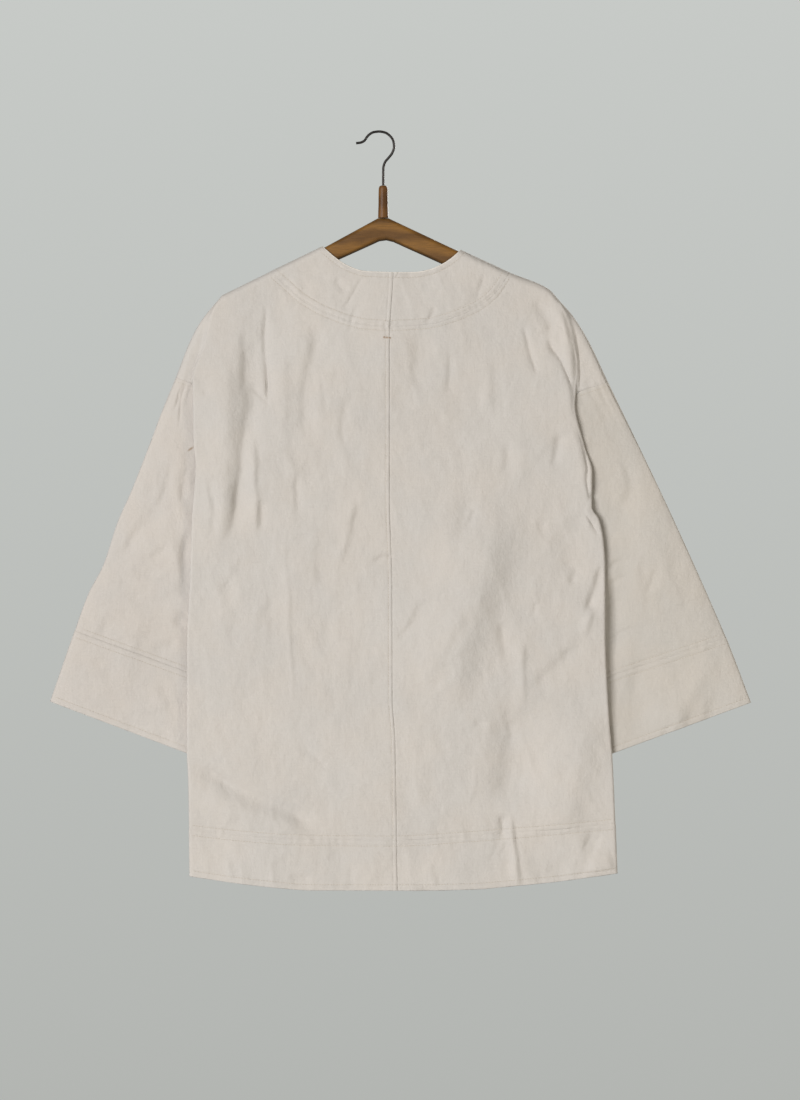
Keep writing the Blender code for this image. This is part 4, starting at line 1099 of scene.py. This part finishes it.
def canvas(name, tint):
    """Natural cotton canvas: mottled ecru, uneven yarn both ways, and small soft crumples."""
    made = Nodes(bpy.data.materials.new(name))
    place = made.place()
    mottle = made.ramp(made.noise(place, 17, 4.0, 0.55), (0.36, ECRU_COOL), (0.64, ECRU_WARM))
    cloud = made.ramp(made.noise(place, 7, 2.0), (0.3, 0.955), (0.7, 1.0))
    warp, weft = (made.noise(made.stretched(place, scale), 1.0, 2.0, 0.6)
                  for scale in ((1500, 1500, 42), (42, 1500, 1500)))
    colour = made.blended("MULTIPLY", 1.0, mottle, cloud)
    # the tint: painted light and shade on the sleeves, a painted highlight on the neck edge, a plain
    # tone on the front
    colour = made.blended("MULTIPLY", 1.0, colour, tint)
    for yarn in (warp, weft):
        streak = made.ramp(yarn, (0.22, 0.945), (0.5, 0.992), (0.8, 1.0))
        colour = made.blended("MULTIPLY", 1.0, colour, streak)
    colour = made.blended("MIX", speck(made, place), colour, SPECK_COLOUR)

    yarns = made.worked("ShaderNodeMath", "ADD", warp, weft)["Value"]
    upright = made.stretched(place, (1.0, 1.0, 0.75))
    bump = made.bumped(made.noise(upright, 50, 4.0, 0.6), 0.5, 4.0 * MM)
    bump = made.bumped(made.noise(upright, 150, 3.0, 0.6), 0.5, 1.1 * MM, bump)
    bump = made.bumped(yarns, 0.5, 0.22 * MM, bump)
    return made.finish(Base_Color=colour, Normal=bump, Roughness=0.93, Specular_IOR_Level=0.25,
                       Sheen_Weight=0.12, Sheen_Roughness=0.6)


def speck(made, place):
    """How much of the cloth's colour is hidden by the small slanting speck in the yarn."""
    centre = (SPECK[0] * MM, 0.0, SPECK[1] * MM)
    beside = made.worked("ShaderNodeVectorMath", "SUBTRACT", place, centre)["Vector"]
    turned = made.add("ShaderNodeMapping", Vector=beside, Rotation=(0.0, math.radians(35), 0.0))
    flat = made.stretched(turned.outputs["Vector"], (0.32, 0.0, 1.0))
    away = made.worked("ShaderNodeVectorMath", "LENGTH", flat)["Value"]
    return made.span(away, 0.6 * MM, 1.9 * MM, 0.7, 0.0)


def thread(name, colours):
    """Cotton sewing thread, twisted."""
    made = Nodes(bpy.data.materials.new(name))
    twist = made.noise(made.place(), 1400, 1.0)
    return made.finish(Base_Color=made.ramp(twist, *zip((0.3, 0.7), colours)),
                       Normal=made.bumped(twist, 0.5, 0.1 * MM), Roughness=0.75)


def wood(name, colours, scale, along_grain):
    """Stained wood with a darker curved grain, and painted shade that darkens it where it faces down.

    along_grain is how its coordinates are scaled: least along the grain.
    """
    dark, light = colours
    made = Nodes(bpy.data.materials.new(name))
    place = made.place()
    grain = made.add("ShaderNodeTexWave", {"bands_direction": "Z"}, Scale=scale, Distortion=5.5,
                     Detail=3.0, Detail_Scale=1.4, Vector=made.stretched(place, along_grain))
    fine = [PORES_ACROSS if part == 1.0 else PORES_ALONG * part for part in along_grain]
    pores = made.noise(made.stretched(place, fine), 1.0, 3.0, 0.6)
    middle = tuple((low + high) / 2 for low, high in zip(dark, light))
    colour = made.ramp(grain.outputs["Fac"], (0.12, dark), (0.45, middle), (0.85, light))
    colour = made.blended("MULTIPLY", 0.85, colour, made.ramp(pores, (0.3, 0.62), (0.62, 1.0)))
    # painted shade: the wood is darkened where its surface faces down, for the shade under the arms
    # and the neck
    normal = made.add("ShaderNodeNewGeometry").outputs["Normal"]
    facing = made.add("ShaderNodeSeparateXYZ", Vector=normal).outputs["Z"]
    colour = made.blended("MULTIPLY", 1.0, colour, made.span(facing, -0.8, -0.3, 0.3, 1.0))
    return made.finish(Base_Color=colour, Roughness=made.ramp(pores, (0.3, 0.62), (0.7, 0.46)),
                       Normal=made.bumped(pores, 0.35, 0.3 * MM), Specular_IOR_Level=0.3,
                       Coat_Weight=0.08, Coat_Roughness=0.3)


def steel():
    """Dark wire with drawn marks and dull patches."""
    made = Nodes(bpy.data.materials.new("dark_steel"))
    marks = made.noise(made.place(), 90, 2.0, 0.45)
    return made.finish(Base_Color=made.ramp(marks, *zip((0.35, 0.7), STEEL_COLOURS)),
                       Roughness=made.ramp(marks, (0.3, 0.50), (0.7, 0.42)),
                       Normal=made.bumped(marks, 0.15, 0.1 * MM), Metallic=0.9)


def add_piece(name, data, finish):
    """Puts a mesh or curve in the scene as a piece that rides with the jacket."""
    made = bpy.data.objects.new(name, data)
    data.materials.append(finish)
    bpy.context.scene.collection.objects.link(made)
    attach(made, "root")
    return made


def add_cloth(node, points, thickness, finish, closed=False):
    """A cloth wall through a grid of world points, in the place of that CAD node."""
    rows, columns = points.shape[:2]
    across = columns if closed else columns - 1
    row, column = np.meshgrid(np.arange(rows - 1), np.arange(across), indexing="ij")
    beside = (column + 1) % columns
    faces = np.stack((row * columns + column, row * columns + beside,
                      (row + 1) * columns + beside, (row + 1) * columns + column), axis=-1)
    mesh = bpy.data.meshes.new(node)
    mesh.from_pydata(points.reshape(-1, 3).tolist(), [], faces.reshape(-1, 4).tolist())
    mesh.shade_smooth()
    made = add_piece("cloth_" + node, mesh, finish)
    solid = made.modifiers.new("wall", "SOLIDIFY")
    solid.thickness = thickness
    solid.offset = 0.0
    flat_faces = made.modifiers.new("edges stay crisp", "WEIGHTED_NORMAL")
    flat_faces.mode = "FACE_AREA"
    flat_faces.weight = 100
    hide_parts(node)
    return made


def add_wire(name, path, radius, resolution, finish):
    """A round piece of that radius along world points."""
    curve = bpy.data.curves.new(name, "CURVE")
    curve.dimensions = "3D"
    curve.bevel_depth = radius
    curve.bevel_resolution = resolution
    curve.use_fill_caps = True
    spline = curve.splines.new("POLY")
    spline.points.add(len(path) - 1)
    for point, place in zip(spline.points, path):
        point.co = (*place, 1.0)
    spline.use_smooth = True
    return add_piece(name, curve, finish)


def seam_line(points, edge, away, wall, span=(0.0, 1.0)):
    """A line on a wall's outer face at a distance from an edge, with its outward directions.

    edge is top, bottom or inner, and span is the share of its length that the line covers.
    """
    grid = points.transpose(1, 0, 2) if edge == "inner" else points
    grid = grid[::-1] if edge == "bottom" else grid
    normals = np.cross(np.gradient(grid, axis=0), np.gradient(grid, axis=1))
    normals /= np.linalg.norm(normals, axis=-1, keepdims=True)
    facing = np.sign((normals[..., 1] * grid[..., 1]).mean())
    normals = normals * (facing if facing else 1.0)
    steps = np.linalg.norm(np.diff(grid, axis=0), axis=-1)
    lengths = np.concatenate((np.zeros((1, grid.shape[1])), np.cumsum(steps, axis=0)))
    row = np.clip((lengths < away).sum(axis=0) - 1, 0, len(grid) - 2)
    column = np.arange(grid.shape[1])
    part = (away - lengths[row, column]) / (lengths[row + 1, column] - lengths[row, column])
    line = mix(grid[row, column], grid[row + 1, column], part)
    out = mix(normals[row, column], normals[row + 1, column], part)
    first, last = (int(round(share * (len(column) - 1))) for share in span)
    return (line + out * wall / 2)[first:last + 1], out[first:last + 1]


def stitches(name, lines, finish):
    """One piece with the stitches along lines on the cloth, each a short sunk capsule."""
    vertices, faces = [], []
    for line, out in lines:
        length = np.concatenate(((0.0,), np.cumsum(np.linalg.norm(np.diff(line, axis=0), axis=1))))
        starts = np.arange(STITCH_PITCH / 2, length[-1] - STITCH, STITCH_PITCH)
        begin, end, up = (np.stack([np.interp(starts + ahead, length, column) for column in rows.T],
                                   axis=-1)
                          for ahead, rows in ((0.0, line), (STITCH, line), (STITCH / 2, out)))
        run = end - begin
        side = np.cross(up, run)
        side /= np.linalg.norm(side, axis=-1, keepdims=True)
        up = np.cross(run, side)
        up /= np.linalg.norm(up, axis=-1, keepdims=True)
        for stitch in zip(begin, run, side, up):
            add_stitch(vertices, faces, *stitch)
    mesh = bpy.data.meshes.new(name)
    mesh.from_pydata([tuple(vertex) for vertex in vertices], [], faces)
    mesh.shade_smooth()
    return add_piece(name, mesh, finish)


def add_stitch(vertices, faces, begin, run, side, up):
    """Adds one stitch: rings of points along its run, the faces between them and its two ends."""
    base = len(vertices)
    for place, width, lift in STITCH_RINGS:
        centre = begin + run * place + up * lift * THREAD * 2
        for step in range(STITCH_SIDES):
            angle = 2 * math.pi * step / STITCH_SIDES
            vertices.append(centre + (side * math.cos(angle) + up * math.sin(angle)) * width * THREAD)
    for low in range(base, len(vertices) - STITCH_SIDES, STITCH_SIDES):
        for step in range(STITCH_SIDES):
            beside = (step + 1) % STITCH_SIDES
            faces.append((low + step, low + beside, low + STITCH_SIDES + beside,
                          low + STITCH_SIDES + step))
    faces.append(tuple(reversed(range(base, base + STITCH_SIDES))))
    faces.append(tuple(range(len(vertices) - STITCH_SIDES, len(vertices))))


def sew(node, grid, wall, rows, finish):
    """The rows of stitches of a cloth piece.

    Each row has an edge, its distance from that edge, the grid's columns where it shows and, if
    it covers only a share of them, that share.
    """
    lines = [seam_line(grid[:, columns], edge, away, wall, *span)
             for edge, away, columns, *span in rows]
    return stitches("stitches_" + node, lines, finish)


def bar_of_thread(finish):
    """The short bar of thread across the centre seam, below the neck band."""
    ends = np.array(BARTACK) * MM
    depth = body_depth(ends, 0.0) + BARTACK_LIFT
    line = np.column_stack((ends[:, 0], -depth, ends[:, 1]))
    out = np.array(((0.0, -1.0, 0.0),) * 2)
    rows = [(line + (0.0, 0.0, drop), out) for drop in BARTACK_ROWS]
    return stitches("bar_of_thread", rows, finish)


def build_body(side, finishes):
    """A half of the body: back and front panels, neck bands and hems, with their stitches."""
    along_band = slice(len(graded(*BAND_ACROSS)))
    on_back = slice(along_band.stop + CAP_ACROSS)
    on_front = slice(FRONT_ACROSS + 1)
    body, front, yarn = (finishes[name] for name in ("body", "front", "thread"))

    node = "back_" + side
    grid = world(back_grid(side, graded(*BACK_ROWS)))
    made = {node: [add_cloth(node, grid, WALL, body)]}
    rows = [("bottom", ROW_BY_JOIN, on_back), ("top", ROW_BY_JOIN, along_band)]
    if side == "left":
        made[node].append(bar_of_thread(finishes["bar"]))
        rows.append(("inner", ROW_BY_CENTRE, on_back, CENTRE_ROW))
    made[node].append(sew(node, grid, WALL, rows, yarn))

    # The other pieces: node, grid, wall, finish and rows of stitches, then the grid row that a
    # rolled edge follows and the edge's name
    neck, band = front_band_grids(side)
    everywhere = slice(None)
    collar_rows = [("top", ROW_BY_NECK, everywhere), ("bottom", ROW_BY_JOIN + LAPPED, everywhere)]
    strip_rows = [("top", ROW_BY_JOIN, everywhere), ("bottom", ROW_BY_NECK, everywhere)]
    for node, grid, wall, finish, rows, rolled in (
            ("collar_back_", world(collar_grid(side)), BAND_WALL, body, collar_rows, (0, "back_")),
            ("hem_back_", world(hem_grid(side)), BAND_WALL, body, hem_rows(on_back), None),
            ("front_", world(front_grid(side, graded(*FRONT_ROWS)), False), WALL, front,
             [("bottom", ROW_BY_JOIN, on_front)], None),
            ("hem_front_", world(hem_grid(side, True), False), BAND_WALL, front,
             hem_rows(on_front), None),
            ("collar_front_", world(neck, False), BAND_WALL, front, strip_rows,
             (-1, "collar_front_")),
            ("front_band_", world(band, False), BAND_WALL, front, strip_rows,
             (-1, "front_band_"))):
        node += side
        made[node] = [add_cloth(node, grid, wall, finish), sew(node, grid, wall, rows, yarn)]
        if rolled:
            row, name = rolled
            # the rolled neck edge is painted paler as a painted highlight
            made[node].append(add_wire("neck_edge_" + name + side, grid[row], EDGE_ROLL,
                                       EDGE_ROUND, finishes["edge"]))
    return made


def hem_rows(*places):
    """The rows of stitches of a hem or a cuff, at each of its shown places."""
    return [(edge, away, columns) for columns in places
            for edge, away in (("top", ROW_BY_JOIN + LAPPED), ("bottom", ROW_BY_HEM))]


def build_sleeve(side, finishes):
    """A sleeve and its cuff, with the stitches round them."""
    made = {}
    for kind, low, wall in (("sleeve_", False, WALL), ("cuff_", True, BAND_WALL)):
        node = kind + side
        rings = tube_grid(side, low)
        piece = add_cloth(node, rings, wall, finishes["sleeve"], closed=True)
        outer = OUTER_COLUMNS[kind]
        back = slice(outer, SLEEVE_SIDE - EDGE_COLUMNS)
        front = slice(SLEEVE_SIDE + EDGE_COLUMNS, 2 * SLEEVE_SIDE - outer)
        if low:
            rows = hem_rows(back, front)
        else:
            seen = int(SLEEVE_SIDE * JOIN_AT_FOLD / (len(SLEEVE_JOINS) - 1))
            rows = [("bottom", ROW_BY_JOIN, back), ("bottom", ROW_BY_JOIN, front)]
            rows += [("top", ROW_BY_ARMHOLE, slice(EDGE_COLUMNS, seen)),
                     ("top", ROW_BY_ARMHOLE, slice(-seen, -EDGE_COLUMNS))]
        made[node] = [piece, sew(node, rings, wall, rows, finishes["thread"])]
    return made


def build_hanger():
    """The wooden arms, the turned collar on them and the wire hook."""
    outline = [(x * MM, z * MM) for x, z in ARMS_TOP + ARMS_BELOW]
    count = len(outline)
    points = [(x, y, z) for y in (-HANGER_THICK / 2, HANGER_THICK / 2) for x, z in outline]
    faces = [tuple(range(count)), tuple(reversed(range(count, 2 * count)))]
    faces += [(start, start + count, (start + 1) % count + count, (start + 1) % count)
              for start in range(count)]
    mesh = bpy.data.meshes.new("arms")
    mesh.from_pydata(points, [], faces)
    shape = bmesh.new()
    shape.from_mesh(mesh)
    bmesh.ops.recalc_face_normals(shape, faces=shape.faces)
    shape.to_mesh(mesh)
    shape.free()
    mesh.shade_smooth()
    arms = add_piece("arms_of_wood", mesh, wood("arm_wood", ARM_COLOURS, 14, (0.42, 1.0, 1.0)))
    edge = arms.modifiers.new("rounded edges", "BEVEL")
    edge.width = HANGER_EDGE
    edge.segments = 8
    edge.limit_method = "ANGLE"
    edge.angle_limit = math.radians(70)
    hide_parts("hanger_arms")

    profile = along(NECK_PROFILE, np.linspace(0, 1, NECK_RINGS))
    rows = [(0.0, profile[0, 1]), *profile, (0.0, profile[-1, 1])]
    mesh = bpy.data.meshes.new("neck")
    mesh.from_pydata([(radius, 0.0, z) for radius, z in reversed(rows)],
                     [(start, start + 1) for start in range(len(rows) - 1)], [])
    neck = add_piece("turned_neck", mesh, wood("turned_wood", NECK_COLOURS, 90, (1.0, 1.0, 0.12)))
    neck.location.x = HOOK_X
    turn = neck.modifiers.new("turned", "SCREW")
    turn.steps = turn.render_steps = NECK_SIDES
    turn.use_merge_vertices = True
    turn.merge_threshold = 0.01 * MM
    turn.use_smooth_shade = True
    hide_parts("hanger_neck")

    path = [(x, 0.0, z) for x, z in along(HOOK_PATH, np.linspace(0, 1, HOOK_POINTS))]
    hook = add_wire("wire_hook", path, HOOK_WIRE / 2, HOOK_ROUND, steel())
    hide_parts("hanger_hook")


def declare(pieces):
    """Looks up what each cloth piece was cut to (width, length and flat area, in metres) and what
    carries it, and does nothing more with them.
    """
    for node, (cloth, *sewn) in pieces.items():
        kind, side = node.rsplit("_", 1)
        width, length, area, carrier = CUTS[kind]
        if carrier != "hanger_arms":
            carrier += "_" + side


def add_light(name, place, aim, size, power, colour):
    """A square soft light at a place, turned to its aim."""
    lamp = bpy.data.lights.new(name, "AREA")
    lamp.shape = "SQUARE"
    lamp.size = size
    lamp.energy = power
    lamp.color = colour
    made = bpy.data.objects.new(name, lamp)
    made.location = place
    made.rotation_euler = (Vector(aim) - Vector(place)).to_track_quat("-Z", "Y").to_euler()
    bpy.context.scene.collection.objects.link(made)


def light_sky(world_data):
    """A pale sky behind the part, and a plain light from all round on the part itself."""
    made = Nodes(world_data, "Background")
    way = made.add("ShaderNodeTexCoord").outputs["Generated"]
    height = made.add("ShaderNodeSeparateXYZ", Vector=way).outputs["Z"]
    sky = made.blended("MIX", made.span(height, -SKY_SPAN, SKY_SPAN, 0.0, 1.0), SKY_LOW, SKY_HIGH)
    seen = made.add("ShaderNodeLightPath").outputs["Is Camera Ray"]
    made.finish(Color=made.blended("MIX", seen, SKY_LIGHT, sky))


def build_studio():
    """The pale floor, the soft light and the camera at the photograph's angle."""
    scene = bpy.context.scene
    mesh = bpy.data.meshes.new("floor")
    mesh.from_pydata([(x, y, FLOOR_Z) for x, y in (
        (-FLOOR_HALF, FLOOR_FROM), (FLOOR_HALF, FLOOR_FROM), (FLOOR_HALF, FLOOR_TO),
        (-FLOOR_HALF, FLOOR_TO))], [], [(0, 1, 2, 3)])
    floor = bpy.data.objects.new("floor", mesh)
    paint = Nodes(bpy.data.materials.new("pale_floor"))
    mesh.materials.append(paint.finish(Base_Color=FLOOR_COLOUR, Roughness=0.8))
    scene.collection.objects.link(floor)

    scene.world = bpy.data.worlds.new("studio")
    light_sky(scene.world)
    for name, light in LIGHTS.items():
        add_light(name, *light)

    lens = bpy.data.cameras.new("camera")
    lens.sensor_fit = "VERTICAL"
    lens.angle = 2 * math.atan(VIEW_HEIGHT / 2 / VIEW_DISTANCE)
    camera = bpy.data.objects.new("camera", lens)
    camera.location = (VIEW_CENTRE[0], -VIEW_DISTANCE - FOLD_DEPTH, VIEW_CENTRE[1])
    camera.rotation_euler = (math.radians(90), 0, 0)
    scene.collection.objects.link(camera)
    scene.camera = camera
    scene.view_settings.view_transform = "Standard"
    scene.view_settings.look = "None"


def main():
    """Builds the jacket, its hanger and the studio."""
    finishes = {"body": canvas("canvas_body", PLAIN), "front": canvas("canvas_front", FRONT_TINT),
                "thread": thread("thread", THREAD_COLOURS_WITH_HOLE_SHADE),
                "bar": thread("brown_thread", BAR_COLOURS),
                # the edge's canvas is painted paler, a painted highlight
                "edge": canvas("canvas_edge_painted_highlight", EDGE_HIGHLIGHT_TINT)}
    pieces = {}
    for side in ("left", "right"):
        # each sleeve's canvas is painted lighter or darker as painted light and shade
        finishes["sleeve"] = canvas("canvas_sleeve_" + side, SLEEVE_PAINTED_LIGHT_TINTS[side])
        pieces.update(build_body(side, finishes))
        pieces.update(build_sleeve(side, finishes))
    declare(pieces)
    build_hanger()
    build_studio()


main()
